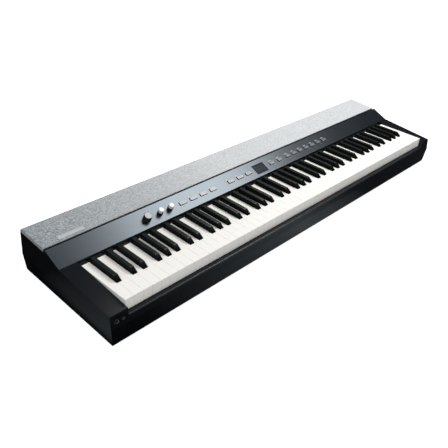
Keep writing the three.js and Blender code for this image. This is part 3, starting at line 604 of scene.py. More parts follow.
class Form:
    """A mesh under construction, in millimetres."""

    def __init__(self) -> None:
        """Starts an empty mesh."""
        self.mesh = bmesh.new()

    def prism(self, outline: Outline, along: Along, low: float, high: float, paint: int = 0) -> "Form":
        """Adds an outline drawn out along X or Z.

        Args:
            outline: Points in [y, z] for X, or in [x, y] for Z.
            along: The axis.
            low: Where it starts.
            high: Where it ends.
            paint: The place of its finish among the piece's finishes.

        Returns:
            The form.
        """
        count = len(outline)
        verts = [self.mesh.verts.new((end, *spot) if along is Along.X else (*spot, end))
                 for end in (low, high) for spot in outline]
        sides = [((i + 1) % count, i, i + count, (i + 1) % count + count) for i in range(count)]
        for loop in (*sides, range(count), range(2 * count - 1, count - 1, -1)):
            self.mesh.faces.new([verts[i] for i in loop]).material_index = paint
        return self

    def block(self, low: Point, high: Point, paint: int = 0) -> "Form":
        """Adds a box between two corners."""
        outline = [(low[0], low[1]), (high[0], low[1]), (high[0], high[1]), (low[0], high[1])]
        return self.prism(outline, Along.Z, low[2], high[2], paint)

    def turned(self, profile: Outline, sides: int = 48, paints: Sequence[int] = ()) -> list[Vert]:
        """Adds a solid of revolution about Z.

        Args:
            profile: Points as radius and height, from the axis back to the axis.
            sides: How many sides it has.
            paints: The place of the finish of each step of the profile.

        Returns:
            The new vertices.
        """
        rings = []
        for radius, height in profile:
            turns = (math.tau * i / sides for i in range(sides if radius else 1))
            rings.append([self.mesh.verts.new((radius * math.cos(turn), radius * math.sin(turn), height))
                          for turn in turns])
        for step, (first, second) in enumerate(zip(rings, rings[1:])):
            for i in range(sides):
                loop = [first[i % len(first)], first[(i + 1) % len(first)],
                        second[(i + 1) % len(second)], second[i % len(second)]]
                face = self.mesh.faces.new(list(dict.fromkeys(loop)))
                face.material_index = paints[step] if paints else 0
        return [vert for ring in rings for vert in ring]

    def cells(self, xs: Iterable[float], ys: Iterable[float], zs: Iterable[float],
              filled: Callable[[float, float, float], bool]) -> "Form":
        """Adds the closed outside of the filled cells of a box grid.

        Args:
            xs: The grid's places along X.
            ys: The grid's places along Y.
            zs: The grid's places along Z.
            filled: Says whether a cell with this centre is filled.

        Returns:
            The form.
        """
        lines = [sorted(set(places)) for places in (xs, ys, zs)]

        def solid(cell: Sequence[int]) -> bool:
            """Says whether a cell exists and is filled."""
            exists = all(0 <= n < len(line) - 1 for n, line in zip(cell, lines))
            return exists and filled(*((line[n] + line[n + 1]) / 2 for n, line in zip(cell, lines)))

        @cache
        def vert(*corner: int) -> Vert:
            """Returns the grid point's vertex, made on first use."""
            return self.mesh.verts.new([line[n] for n, line in zip(corner, lines)])

        around = ((0, 0), (1, 0), (1, 1), (0, 1))
        for cell in filter(solid, product(*(range(len(line) - 1) for line in lines))):
            for axis, end in product(range(3), (0, 1)):
                beyond = list(cell)
                beyond[axis] += 2 * end - 1
                if not solid(beyond):
                    loop = []
                    for steps in around if end else around[::-1]:
                        corner = list(cell)
                        corner[axis] += end
                        for turn, step in enumerate(steps, 1):
                            corner[(axis + turn) % 3] += step
                        loop.append(vert(*corner))
                    self.mesh.faces.new(loop)
        return self

    def move(self, verts: Iterable[Vert], matrix: Matrix) -> None:
        """Moves some vertices by a matrix."""
        bmesh.ops.transform(self.mesh, matrix=matrix, verts=list(verts))

    def repaint(self, rule: Callable[[Face], bool]) -> None:
        """Gives the faces that a rule picks the second finish, and the others the first."""
        for face in self.mesh.faces:
            face.material_index = int(rule(face))

    def mesh_data(self, name: str) -> Mesh:
        """Turns the form into a mesh in metres.

        Args:
            name: The mesh's name.

        Returns:
            The mesh.
        """
        self.move(self.mesh.verts, Matrix.Scale(MM, 4))
        data = bpy.data.meshes.new(name)
        self.mesh.to_mesh(data)
        self.mesh.free()
        return data

    def finish(self, piece: Piece, place: Matrix | None = None,
               tight: Callable[[Vector], bool] | None = None) -> Thing:
        """Turns the form into a piece of the model.

        Args:
            piece: What the piece is.
            place: Where it goes.
            tight: Says of an edge's middle whether that edge is only slightly softened.

        Returns:
            The piece.
        """
        mesh = self.mesh
        if place is not None:
            self.move(mesh.verts, place)
        bmesh.ops.remove_doubles(mesh, verts=mesh.verts, dist=MERGE_REACH)
        bmesh.ops.dissolve_limit(mesh, angle_limit=math.radians(FLAT_DEGREES), verts=mesh.verts,
                                 edges=mesh.edges, delimit={"MATERIAL"})
        bmesh.ops.recalc_face_normals(mesh, faces=mesh.faces)
        if tight:
            weight = mesh.edges.layers.float.new("bevel_weight_edge")
            for edge in mesh.edges:
                if edge.calc_face_angle(0.0) > math.radians(CREASE_DEGREES):
                    first, second = (vert.co for vert in edge.verts)
                    edge[weight] = TIGHT_SHARE if tight((first + second) / 2) else 1.0
        return piece.make(self.mesh_data(piece.name), tight is not None)


def refined(piece: Piece, tight: Callable[[Vector], bool] | None = None) -> Thing:
    """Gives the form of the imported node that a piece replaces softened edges.

    Args:
        piece: What the piece is.
        tight: Says of an edge's middle whether that edge is only slightly softened.

    Returns:
        The piece.
    """
    form = Form()
    form.mesh.from_mesh(frame["nodes"][piece.node].data)
    form.move(form.mesh.verts, Matrix.Scale(1 / MM, 4))
    form.repaint(lambda face: False)
    return form.finish(piece, tight=tight)


@cache
def copying_tree() -> tuple[Tree, dict[str, str]]:
    """Builds the geometry tree that places copies of one small form on points.

    Returns:
        The tree, and the identifiers of its inputs by their names.
    """
    tree = bpy.data.node_groups.new("Copies on points", "GeometryNodeTree")
    kinds = {"Points": "Geometry", "Part": "Object", "Tilt": "Vector", "Spin": "Float", "Seed": "Int",
             "Finish": "Material"}
    sockets = {}
    for label, kind in kinds.items():
        socket = tree.interface.new_socket(label, in_out="INPUT", socket_type=f"NodeSocket{kind}")
        sockets[label] = socket.identifier
    tree.interface.new_socket("Mesh", in_out="OUTPUT", socket_type="NodeSocketGeometry")
    board = Board(tree)
    given = board.add("NodeGroupInput").outputs
    part = board.add("GeometryNodeObjectInfo", {"Object": given["Part"]}).outputs["Geometry"]
    chance = board.add("FunctionNodeRandomValue", {"Seed": given["Seed"]}, data_type="FLOAT").outputs[1]
    about = board.add("ShaderNodeCombineXYZ", {"Z": board.times(chance, given["Spin"])}).outputs[0]
    tilted, turned = (board.add("FunctionNodeEulerToRotation", {0: turn}).outputs[0]
                      for turn in (given["Tilt"], about))
    both = board.add("FunctionNodeRotateRotation", {0: tilted, 1: turned}, rotation_space="LOCAL").outputs[0]
    copies = board.add("GeometryNodeInstanceOnPoints", {
        "Points": given["Points"], "Instance": part, "Rotation": both,
    }).outputs[0]
    real = board.add("GeometryNodeRealizeInstances", {"Geometry": copies}).outputs[0]
    dressed = board.add("GeometryNodeSetMaterial", {"Geometry": real, "Material": given["Finish"]}).outputs[0]
    board.add("NodeGroupOutput", {0: dressed})
    return tree, sockets


def copied(piece: Piece, form: Form, points: Sequence[Vector], tilt: float = 0.0, spin: float = 0.0,
           seed: int = 1) -> Thing:
    """Makes one piece of the copies of a small form.

    Args:
        piece: What the piece is.
        form: The small form, about its own origin.
        points: Where the copies go.
        tilt: The turn about X that all copies share.
        spin: The largest turn of a copy about its own axis, by chance.
        seed: The seed of that chance.

    Returns:
        The piece.
    """
    bmesh.ops.recalc_face_normals(form.mesh, faces=form.mesh.faces)
    shape = form.mesh_data(f"{piece.name}_part")
    shape.shade_smooth()
    part = link(bpy.data.objects.new(shape.name, shape))
    dots = bpy.data.meshes.new(f"{piece.name}_points")
    dots.from_pydata([point * MM for point in points], [], [])
    carrier = link(bpy.data.objects.new(dots.name, dots))
    nodes = carrier.modifiers.new("Copies", "NODES")
    nodes.node_group, sockets = copying_tree()
    inputs = {"Part": part, "Tilt": (tilt, 0.0, 0.0), "Spin": spin, "Seed": seed,
              "Finish": painted(piece.paints[0])}
    for label, value in inputs.items():
        nodes[sockets[label]] = value
    bpy.context.view_layer.update()
    seen = carrier.evaluated_get(bpy.context.evaluated_depsgraph_get())
    made = bpy.data.meshes.new_from_object(seen)
    made.name = piece.name
    carrier.modifiers.remove(nodes)
    for thing in (part, carrier):
        bpy.data.objects.remove(thing)
    return piece.make(made)


def rounded(half: float, depth: float, radius: float, steps: int = 4) -> list[tuple[float, float]]:
    """Returns the outline of a rectangle with rounded corners, about its middle.

    Args:
        half: Half its length along X.
        depth: Half its width along Y.
        radius: The corners' radius.
        steps: How many steps each corner has.

    Returns:
        Points in [x, y].
    """
    outline = []
    for x, y, start in ((1, -1, -90), (1, 1, 0), (-1, 1, 90), (-1, -1, 180)):
        for step in range(steps + 1):
            turn = math.radians(start + 90 * step / steps)
            outline.append((x * (half - radius) + radius * math.cos(turn),
                            y * (depth - radius) + radius * math.sin(turn)))
    return outline


@dataclass(frozen=True)
class Slope:
    """A sloping frame of the case: its X axis is the case's, and Y climbs the slope."""

    y: float
    z: float
    angle: float

    @property
    def matrix(self) -> Matrix:
        """The frame's matrix."""
        return Matrix.Translation((0, self.y, self.z)) @ Matrix.Rotation(self.angle, 4, "X")

    def at(self, across: float, along: float, above: float) -> Vector:
        """Returns a point of the slope in the case's frame."""
        return self.matrix @ Vector((across, along, above))

    def spot(self, across: float, along: float) -> Matrix:
        """Returns the matrix that puts a form down on the slope."""
        return self.matrix @ Matrix.Translation((across, along, 0))


# Sizes that the sub-assemblies share

KEYS = Slope(-144.952, 92.7, math.radians(-2.0))
PANEL = Slope(13.648, 91.791, math.radians(21.64))
LID = Slope(70.723, 111.014, math.radians(2.27))
LID_SEAT = -6.3
CASE_HALF = 656.0
SLIP_HALF = 612.0


@dataclass(frozen=True)
class Key:
    """One key: its name, its octave, its sides, and the sides of its narrow part."""

    name: str
    octave: int
    left: float
    right: float
    tail_left: float = 0.0
    tail_right: float = 0.0


@dataclass(frozen=True)
class Keyboard:
    """The 88 keys: a middle octave of single keys between a bass and a treble section."""

    pitch: float = 23.5
    gap: float = 0.38
    count: int = 52
    first_c: int = 2
    middle_octave: int = 4
    black_width: float = 11.3
    notch_gap: float = 1.1
    length: float = 146.4
    depth: float = 12.0
    lip: float = 3.0
    lip_drop: float = 27.0
    shank_drop: float = 3.0
    pivot: float = 222.0
    notch: float = 4.3
    white_end: float = 236.0
    white_rail: float = 6.0
    black_end: float = 229.0
    black_front: float = 52.8
    black_run: float = 11.5
    black_nose: float = 2.2
    black_height: float = 11.0
    black_back: float = 146.9
    black_taper: float = 0.35
    black_chin: float = 0.9
    black_slant: float = 0.45
    black_drop: float = 0.35
    black_round: float = 2.2
    black_heel: float = 2.0
    rail_front: float = 206.0
    rail_back: float = 214.0
    rail_low: float = -1.5
    rail_top: float = 4.0
    rail_bite: float = 1.0
    white_edge: float = 0.35
    black_edge: float = 0.6
    rail_edge: float = 0.4
    letters: str = "abcdefg"
    sharps: tuple[tuple[str, float], ...] = (
        ("c_sharp", 0.9), ("d_sharp", 2.1), ("f_sharp", 3.857), ("g_sharp", 5.0), ("a_sharp", 6.143),
    )

    @property
    def half(self) -> float:
        """Half the keyboard's length."""
        return self.pitch * self.count / 2

    def blacks(self) -> list[Key]:
        """Lists the black keys from the bass up.

        Returns:
            The 36 black keys.
        """
        keys = []
        span, half = len(self.letters), self.black_width / 2
        for octave, (name, share) in product(range(self.count // span + 1), self.sharps):
            centre = (self.first_c + (octave - 1) * span + share) * self.pitch - self.half
            if abs(centre) < self.half:
                keys.append(Key(f"{name}_{octave}", octave, centre - half, centre + half))
        return keys

    def whites(self) -> list[Key]:
        """Lists the white keys from the bass up.

        Returns:
            The 52 white keys.
        """
        keys = []
        span, blacks = len(self.letters), self.blacks()
        for i in range(self.count):
            left = i * self.pitch - self.half + self.gap / 2
            right = left + self.pitch - self.gap
            tail_left, tail_right = left, right
            for black in blacks:
                if black.left < left < black.right + self.notch_gap:
                    tail_left = black.right + self.notch_gap
                if black.left - self.notch_gap < right < black.right:
                    tail_right = black.left - self.notch_gap
            octave = (i + span - self.first_c) // span
            keys.append(Key(f"{self.letters[i % span]}_{octave}", octave, left, right, tail_left, tail_right))
        return keys

    def home(self, key: Key, slot: Slot) -> str:
        """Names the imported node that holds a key, which is also its body.

        Args:
            key: The key.
            slot: The white or the black keys' slot.

        Returns:
            The node's name.
        """
        if key.octave == self.middle_octave:
            return f"{slot.value}_key_{key.name}"
        return f"{'bass' if key.octave < self.middle_octave else 'treble'}_{slot.value}_keys"

    def piece(self, key: Key, slot: Slot, edge: float, second: str) -> Piece:
        """Says what the piece of one key is.

        Args:
            key: The key.
            slot: Its slot.
            edge: The width of its softened edges.
            second: The name of its second finish.

        Returns:
            What the piece is.
        """
        home = self.home(key, slot)
        return Piece(f"{slot.value}_{key.name}", slot, (slot.value, second), home, home, edge, 3)

    def white(self, key: Key) -> None:
        """Builds a white key: a topped cap with a front lip, on a lower shank.

        Args:
            key: The key.
        """
        narrow = self.black_front - self.notch_gap
        seat, seat_end = self.pivot - self.notch, self.pivot + self.notch
        seat_top = self.notch - self.depth

        def filled(x: float, y: float, z: float) -> bool:
            """Says whether a place is inside the key.

            Args:
                x: The place across.
                y: The place along.
                z: The place's height.

            Returns:
                Whether it is inside.
            """
            if y > narrow and not key.tail_left < x < key.tail_right:
                return False
            if z < -self.depth:
                return y < self.lip
            if abs(y - self.pivot) < self.notch and z < seat_top:
                return False
            return y < self.length or z < -self.shank_drop

        form = Form().cells(
            (key.left, key.tail_left, key.tail_right, key.right),
            (0, self.lip, narrow, self.length, seat, seat_end, self.white_end),
            (-self.lip_drop, -self.depth, seat_top, -self.shank_drop, 0),
            filled,
        )
        form.repaint(lambda face: face.calc_center_median().y > self.length - 0.1)
        form.finish(self.piece(key, Slot.WHITE, self.white_edge, "shank"), KEYS.matrix)

    def black(self, key: Key) -> None:
        """Builds a black key: a cap with a sloping front and leaning sides, on a lower shank.

        Args:
            key: The key.
        """
        front, back, top = self.black_front, self.black_back, self.black_height
        low, shank, brow = -self.depth, -self.shank_drop, front + self.black_run
        form = Form().prism([
            (front, low), (front, self.black_nose - self.black_chin),
            (front + self.black_slant, self.black_nose), (brow, top - self.black_drop),
            (brow + self.black_round, top), (back - self.black_heel, top), (back, shank),
            (self.black_end, shank), (self.black_end, low),
            (self.pivot + self.notch, low), (self.pivot + self.notch, low + self.notch),
            (self.pivot - self.notch, low + self.notch), (self.pivot - self.notch, low),
        ], Along.X, key.left, key.right)
        middle = (key.left + key.right) / 2
        for vert in form.mesh.verts:
            if vert.co.z > 0:
                lean = self.black_taper * vert.co.z / top
                vert.co.x -= math.copysign(lean, vert.co.x - middle)
        form.mesh.normal_update()
        # Painted shade: the sides and the sloping front take the darker, duller second finish.
        form.repaint(lambda face: abs(face.normal.x) > 0.7 or face.normal.y < -0.25)
        cap = form.finish(self.piece(key, Slot.BLACK, self.black_edge, "black_painted_shade"), KEYS.matrix)
        # Painted shade: the softened edges take it too, which dulls their highlights.
        cap.modifiers["Soft edges"].material = 1

    def rail(self, side: str, slot: Slot, keys: Sequence[Key]) -> None:
        """Builds the rail that joins the keys of one section.

        Args:
            side: The section's name.
            slot: The white or the black keys' slot.
            keys: All keys of that colour.
        """
        home = f"{side}_{slot.value}_keys"
        joined = [key for key in keys if self.home(key, slot) == home]
        left, right = joined[0].left, joined[-1].right
        form = Form()
        if slot is Slot.WHITE:
            form.block((left, self.white_end - self.white_rail, -self.depth),
                       (right, self.white_end, -self.shank_drop))
        else:
            form.block((left, self.rail_front, self.rail_low), (right, self.rail_back, self.rail_top))
            for key in joined:
                form.block((key.left, self.rail_front, -self.shank_drop - self.rail_bite),
                           (key.right, self.rail_back, self.rail_low + self.rail_bite))
        form.finish(Piece(f"{side}_{slot.value}_rail", slot, (slot.value,), home, home, self.rail_edge),
                    KEYS.matrix)

    def build(self) -> None:
        """Builds every key, and the rails of the bass and treble sections."""
        whites, blacks = self.whites(), self.blacks()
        for key in whites:
            self.white(key)
        for key in blacks:
            self.black(key)
        for side, (slot, keys) in product(("bass", "treble"), ((Slot.WHITE, whites), (Slot.BLACK, blacks))):
            self.rail(side, slot, keys)


@dataclass(frozen=True)
class Fitting:
    """One socket: its node, its place across, the radii of its parts, and its wall."""

    node: str
    across: float
    bore: float
    barrel: float
    ring: float
    body: float
    at_front: bool


@dataclass(frozen=True)
class Case:
    """The tray, end blocks, slip, rear panel, feet and sockets."""

    foot_radius: float = 12.0
    foot_height: float = 4.0
    foot_stem: float = 3.0
    foot_across: float = 558.0
    foot_along: tuple[tuple[str, float], ...] = (("front", -120.452), ("rear", 121.452))
    front: float = -155.452
    lean: float = 5.0
    cheek: float = 81.2
    rear: float = 160.453
    front_height: float = 63.0
    rear_height: float = 76.0
    crease: float = 48.0
    slip_top: float = 65.0
    slip_sheet: float = 2.5
    slip_nose: float = 1.5
    slip_depth: float = 9.0
    slip_drop: float = 13.0
    slip_gap: float = 0.3
    slip_edge: float = 0.3
    edge: float = 1.2
    rear_edge: float = 0.5
    seam: float = 0.5
    seam_reach: float = 1.5
    socket_back: float = 25.3
    screw_rows: tuple[float, ...] = (-98.0, 8.0, 104.0)
    screw_pitch: float = 148.0
    screw_seat: float = 4.0
    fittings: tuple[Fitting, ...] = (
        Fitting("headphone_jack", -641.4, 3.25, 4.6, 6.0, 6.6, True),
        Fitting("small_headphone_jack", -625.6, 1.8, 3.2, 4.3, 5.0, True),
        Fitting("pedal_jack", -330.0, 3.25, 4.6, 4.6, 6.6, False),
        Fitting("power_inlet", -250.0, 3.1, 4.8, 4.8, 6.6, False),
    )

    def shell(self) -> None:
        """Builds the mouldings of the case, whose softened edges are tight where two of them meet."""
        crease, reach = self.crease + self.seam, self.seam_reach
        refined(Piece("tray_moulding", Slot.TRAY, ("tray",), "bottom_tray", bevel=self.edge, segments=3),
                lambda at: at.z > crease - reach)
        for side in ("left", "right"):
            cheek = Piece(f"{side}_cheek", Slot.CASE, ("case",), f"{side}_end_block", bevel=self.edge,
                          segments=3)
            refined(cheek, lambda at: at.z < crease or abs(at.x) < SLIP_HALF + reach)
        refined(Piece("rear_moulding", Slot.CASE, ("case",), "rear_panel", bevel=self.rear_edge))

    def face(self, height: float) -> float:
        """Returns the place of the leaning front face at a height."""
        return self.front - self.lean * (self.cheek - height) / (self.cheek - self.crease)

    def slip(self) -> None:
        """Builds the key slip, a channel with a rounded nose."""
        top, sheet, nose = self.slip_top, self.slip_sheet, self.slip_nose
        back, low = self.front + self.slip_depth, self.crease + self.slip_gap
        drop, brow = top - self.slip_drop, top - 2 * nose
        middle = self.face(top - nose) + nose
        form = Form().prism([
            (self.face(low), low), (self.face(brow), brow),
            *((middle - nose * math.cos(turn), top - nose + nose * math.sin(turn))
              for turn in (math.radians(15 * step) for step in range(7))),
            (back, top), (back, drop), (back - sheet, drop), (back - sheet, top - sheet),
            (self.face(top - sheet) + sheet, top - sheet), (self.face(low) + sheet, low),
        ], Along.X, -SLIP_HALF, SLIP_HALF)

        def on_nose(face: Face) -> bool:
            """Says whether a face is on the rounded nose."""
            spot = face.calc_center_median()
            return spot.z > brow and spot.y < middle and len(face.verts) == 4

        # Painted highlight: the rounded nose takes the lighter, glossier second finish.
        form.repaint(on_nose)
        form.finish(Piece("front_slip", Slot.CASE, ("case", "nose"), "key_slip", bevel=self.slip_edge))

    def foot(self, name: str, x: float, y: float) -> None:
        """Builds one rubber foot with a grooved sole.

        Args:
            name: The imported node.
            x: Its place across.
            y: Its place along.
        """
        form = Form()
        radius, height, stem = self.foot_radius, self.foot_height, self.foot_stem
        form.turned([
            (0, 0.5), (3.0, 0.5), (3.4, 0), (6.2, 0), (6.6, 0.5), (7.4, 0.5), (7.8, 0), (radius - 0.9, 0),
            (radius - 0.25, 0.25), (radius, 0.9), (radius - 0.2, height - 0.6), (radius - 0.5, height - 0.3),
            (stem, height - 0.3), (stem, height + 2.7), (0, height + 2.7),
        ])
        form.finish(Piece(f"{name}_rubber", Slot.RUBBER, ("rubber",), name), Matrix.Translation((x, y, 0)))

    def socket(self, fitting: Fitting) -> None:
        """Builds one socket: a plated ring, a barrel with a stepped bore, and the body behind.

        Args:
            fitting: Its sizes and its place.
        """
        bore, barrel, ring, body = fitting.bore, fitting.barrel, fitting.ring, fitting.body
        face = -1.5 if fitting.at_front else 0.0
        back, contact, seat = self.socket_back, bore * 0.8, 3.3
        form = Form()
        form.turned([
            (0, back - 3), (contact, back - 3), (contact, 6.0), (bore, 5.4), (bore, face + 0.35),
            (bore + 0.35, face), (ring - 0.5, face), (ring, face + 0.4), (ring, face + 1.2),
            (barrel, face + 1.2), (barrel, seat), (body, seat), (body, back), (0, back),
        ], 40, [1] * 4 + [0] + [1] * 8)
        if fitting.node == "power_inlet":
            form.turned([(0, back - 3.5), (0.9, back - 3.5), (0.9, 3.4), (0.6, 3.0), (0, 2.9)], 16)
        height, wall = self.rear_height, self.rear
        if fitting.at_front:
            height = self.front_height
            wall = self.face(height + ring + 0.5)
        turn = Matrix.Rotation(math.radians(-90 if fitting.at_front else 90), 4, "X")
        form.finish(Piece(f"{fitting.node}_fitting", Slot.SOCKET, ("ring", "socket"), fitting.node),
                    Matrix.Translation((fitting.across, wall, height)) @ turn)

    def screws(self) -> None:
        """Builds the round-headed screws under the tray."""
        head = Form()
        head.turned([(0, 0.35), (1.1, 0.35), (1.3, 0.95), (2.2, 0.85), (3.2, 0.45), (3.6, 0), (0, -0.2)], 24)
        count = int(CASE_HALF // self.screw_pitch)
        spots = [Vector((i * self.screw_pitch, y, self.screw_seat))
                 for y in self.screw_rows for i in range(-count + 1, count)]
        copied(Piece("tray_screws", Slot.TRAY, ("screw",)), head, spots, math.pi, math.pi, 7)

    def build(self) -> None:
        """Builds the whole case."""
        self.shell()
        self.slip()
        for side, (end, y) in product((-1, 1), self.foot_along):
            self.foot(f"{'left' if side < 0 else 'right'}_{end}_foot", side * self.foot_across, y)
        for fitting in self.fittings:
            self.socket(fitting)
        self.screws()


@dataclass(frozen=True)
class Button:
    """One push button."""

    name: str
    across: float
    width: float


@dataclass(frozen=True)
class Knob:
    """One rotary control.

    Attributes:
        name: Its node, which is also its body.
        across: Its place along the panel.
        radius: The radius of its skirt.
        top: The radius of its cap.
        height: How high it stands over the panel.
        capped: Whether its cap is pale and raised.
    """

    name: str
    across: float
    radius: float
    top: float
    height: float
    capped: bool


@dataclass(frozen=True)
class Mark:
    """A small flat mark that the panel or its display repeats.

    Attributes:
        name: The name of the piece that its copies make.
        paint: The name of its finish.
        length: Its size along X.
        width: Its size along the slope.
        height: How thick it is.
        corner: The radius of its corners.
    """

    name: str
    paint: str
    length: float
    width: float
    height: float
    corner: float

    def put(self, slot: Slot, spots: Sequence[Vector]) -> None:
        """Lays copies of the mark flat on the panel.

        Args:
            slot: The slot of the piece that they make.
            spots: Where they go.
        """
        outline = rounded(self.length / 2, self.width / 2, self.corner, 3)
        form = Form().prism(outline, Along.Z, 0, self.height)
        copied(Piece(self.name, slot, (self.paint,)), form, spots, PANEL.angle)


@dataclass(frozen=True)
class ControlPanel:
    """The sloping panel with its buttons, knobs, display, print and lamps."""

    length: float = 54.84
    sheet: float = 2.5
    row: float = 24.3
    shelf: float = 13.0
    post_across: tuple[float, ...] = (-420.0, -148.85, 330.4)
    post_along: tuple[float, ...] = (16.0, 42.0)
    post_radius: float = 3.0
    post_root: float = -1.2
    edge: float = 0.35
    board_depth: float = 7.7
    shaft: float = 3.0
    shaft_hole: float = 3.05
    knob_sides: int = 72
    flute_depth: float = 0.35
    pointer_half: float = 0.45
    display_gap: float = 0.05
    button_depth: float = 9.6
    proud: float = 2.0
    slot_gap: float = 0.45
    flange_top: float = -2.8
    stem_end: float = -4.6
    stem_half: float = 1.5
    flange_sheet: float = 1.2
    flange_reach: float = 1.0
    flange_corner: float = 0.8
    cap_corner: float = 1.1
    cap_root: float = 0.6
    cap_split: float = 0.3
    cap_edge: float = 0.45
    display_across: float = 5.0
    display_length: float = 46.0
    display_width: float = 31.6
    display_rim: float = 1.4
    recess: float = 0.3
    display_step: float = 0.25
    display_edge: float = 0.2
    digit_pitch: float = 12.4
    bar: Mark = Mark("display_bars", "segment", 6.4, 1.3, 0.12, 0.5)
    bar_rows: tuple[float, ...] = (-8.4, 0.0, 8.4)
    upright: Mark = Mark("display_posts", "segment", 1.3, 6.8, 0.12, 0.5)
    upright_sides: tuple[float, ...] = (-4.1, 4.1)
    upright_rows: tuple[float, ...] = (-4.2, 4.2)
    above: Mark = Mark("marks_above", "print", 6.5, 1.1, 0.06, 0.4)
    above_inset: float = 4.0
    above_rise: float = 8.6
    below: Mark = Mark("marks_below", "print", 3.4, 0.7, 0.06, 0.25)
    below_inset: float = 2.2
    below_drop: float = 7.8
    cluster: Mark = Mark("marks_group", "print", 9.0, 1.6, 0.06, 0.5)
    cluster_shift: float = 0.8
    cluster_rise: float = 9.4
    clustered: tuple[str, ...] = ("value", "voice")
    mark_level: float = -0.02
    lamp: Mark = Mark("song_lamps", "lamp", 1.6, 1.6, 0.3, 0.75)
    lamp_across: float = -133.0
    lamp_along: float = 14.5
    lamp_pitch: float = 4.6
    lamp_count: int = 5
    lamp_level: float = -0.1
    knobs: tuple[Knob, ...] = (
        Knob("volume_knob", -404.0, 10.5, 9.8, 14.0, False),
        Knob("tone_knob_low", -363.5, 7.2, 6.6, 15.0, True),
        Knob("tone_knob_high", -331.5, 7.2, 6.6, 15.0, True),
    )
    groups: tuple[tuple[str, int, float, float, float], ...] = (
        ("mode_button", 4, -289.0, 35.3, 21.6), ("song_button", 3, -114.5, 35.3, 21.6),
        ("value_button", 2, 56.5, 35.3, 18.4), ("voice_button", 7, 130.0, 30.2, 18.4),
    )

    def buttons(self) -> list[Button]:
        """Lists the buttons from left to right."""
        return [Button(f"{name}_{i + 1}", start + i * pitch, width)
                for name, count, start, pitch, width in self.groups for i in range(count)]

    def sheet_piece(self) -> None:
        """Builds the panel's sheet with its cut-outs, its lips and its posts."""
        gap, row, hole = self.slot_gap, self.row, self.shaft_hole
        holes = [(b.across, b.width / 2 + gap, self.button_depth / 2 + gap) for b in self.buttons()]
        holes += [(knob.across, hole, hole) for knob in self.knobs]
        holes.append((self.display_across, self.display_length / 2 + self.display_gap,
                      self.display_width / 2 + self.display_gap))
        xs = (-CASE_HALF, CASE_HALF, *(x + side * half for x, half, _ in holes for side in (-1, 1)))
        ys = (0.0, self.length, *(row + side * half for *_, half in holes for side in (-1, 1)))
        form = Form().cells(xs, ys, (-self.sheet, 0.0), lambda x, y, z: not any(
            abs(x - at) < half and abs(y - row) < depth for at, half, depth in holes))
        radius, foot, root = self.post_radius, -self.board_depth, self.post_root
        for across, along in product(self.post_across, self.post_along):
            post = form.turned([(0, foot), (radius, foot), (radius, root), (0, root)], 20)
            form.move(post, Matrix.Translation((across, along, 0)))
        form.move(form.mesh.verts, PANEL.matrix)
        front, end, seat = PANEL.at(0, 0, -self.sheet), PANEL.at(0, self.length, 0), LID.at(0, 0, LID_SEAT)
        low, back = PANEL.z - self.sheet - 3.5, seat.y + self.shelf - 1
        form.prism([(front.y + 0.3, low), (front.y + 2.5, low), (front.y + 2.5, front.z + 1.9),
                    (front.y + 0.3, front.z + 1.2)], Along.X, -SLIP_HALF, SLIP_HALF, 1)
        # Painted shade: the back shelf under the lid's front edge takes the dark lip finish, deepening the
        # gap's shade.
        form.prism([(end.y - 0.3, end.z - 1.4), (end.y - 2.5, end.z - 2.3), (end.y - 2.5, seat.z - 2.7),
                    (back, seat.z - 2.1), (back, seat.z + 0.45), (end.y - 0.3, seat.z - 0.25)],
                   Along.X, -SLIP_HALF, SLIP_HALF, 1)
        form.finish(Piece("panel_sheet", Slot.PANEL, ("panel", "lip"), "control_panel", bevel=self.edge))

    def button(self, button: Button) -> None:
        """Builds one button: a cap with rounded corners, its flange and its stem.

        Args:
            button: Its name, place and width.
        """
        half, depth, flange = button.width / 2, self.button_depth / 2, self.flange_top
        reach, stem, root = self.flange_reach, self.stem_half, flange - self.cap_root
        form = Form().prism(rounded(half, depth, self.cap_corner), Along.Z, root, self.proud)
        form.prism(rounded(half + reach, depth + reach, self.flange_corner), Along.Z,
                   flange - self.flange_sheet, flange)
        form.block((-stem, -stem, self.stem_end), (stem, stem, root))
        form.repaint(lambda face: face.calc_center_median().z <= self.cap_split)
        form.finish(Piece(f"{button.name}_cap", Slot.BUTTON, ("button_top", "button_side"), button.name,
                          button.name, self.cap_edge, 3), PANEL.spot(button.across, self.row))

    def knob(self, knob: Knob) -> None:
        """Builds one knob on its shaft: a black skirt, a cap, and a pointer.

        Args:
            knob: Its name, place and sizes.
        """
        radius, top, height, share = knob.radius, knob.top, knob.height, 0.4 * knob.height
        skirt, cap, ring, mark = range(4)
        profile = [(0, -7.0), (self.shaft, -7.0), (self.shaft, 0.4), (radius - 0.5, 0.4), (radius, 0.9)]
        if knob.capped:
            profile += [
                (radius - 0.1, share - 0.5), (radius - 0.5, share), (radius - 1.2, share),
                (radius - 1.2, share + 0.5), (top - 0.15, share + 0.6), (top, share + 0.9),
                (top, height - 4.2), (top - 0.25, height - 4.0), (top - 0.25, height - 3.4),
                (top, height - 3.2), (top, height - 1.1), (top - 0.3, height - 0.5),
                (top - 0.9, height - 0.15), (top - 2.6, height), (0, height),
            ]
            places = [skirt] * 8 + [cap] * 3 + [ring] * 3 + [cap] * 5
            low, high, sunk = 0.55 * top, top - 1.4, 0.55
            paints = ("knob", "knob_top", "knob_ring", "knob_ring")
        else:
            profile += [
                (radius - 0.15, 3.2), (radius - 0.45, 3.6), (top + 0.1, height - 1.6),
                (top - 0.25, height - 0.7), (top - 1.0, height - 0.25), (top - 1.3, height - 0.3),
                (top - 1.6, height - 0.35), (top - 2.0, height - 0.05), (3.0, height), (0, height),
            ]
            places = [skirt] * 9 + [cap] * 5
            low, high, sunk = 0.5 * top, top - 2.1, 0.35
            paints = ("knob", "knob_cap", "knob_ring", "knob_line")
        form = Form()
        verts = form.turned(profile, self.knob_sides, places)
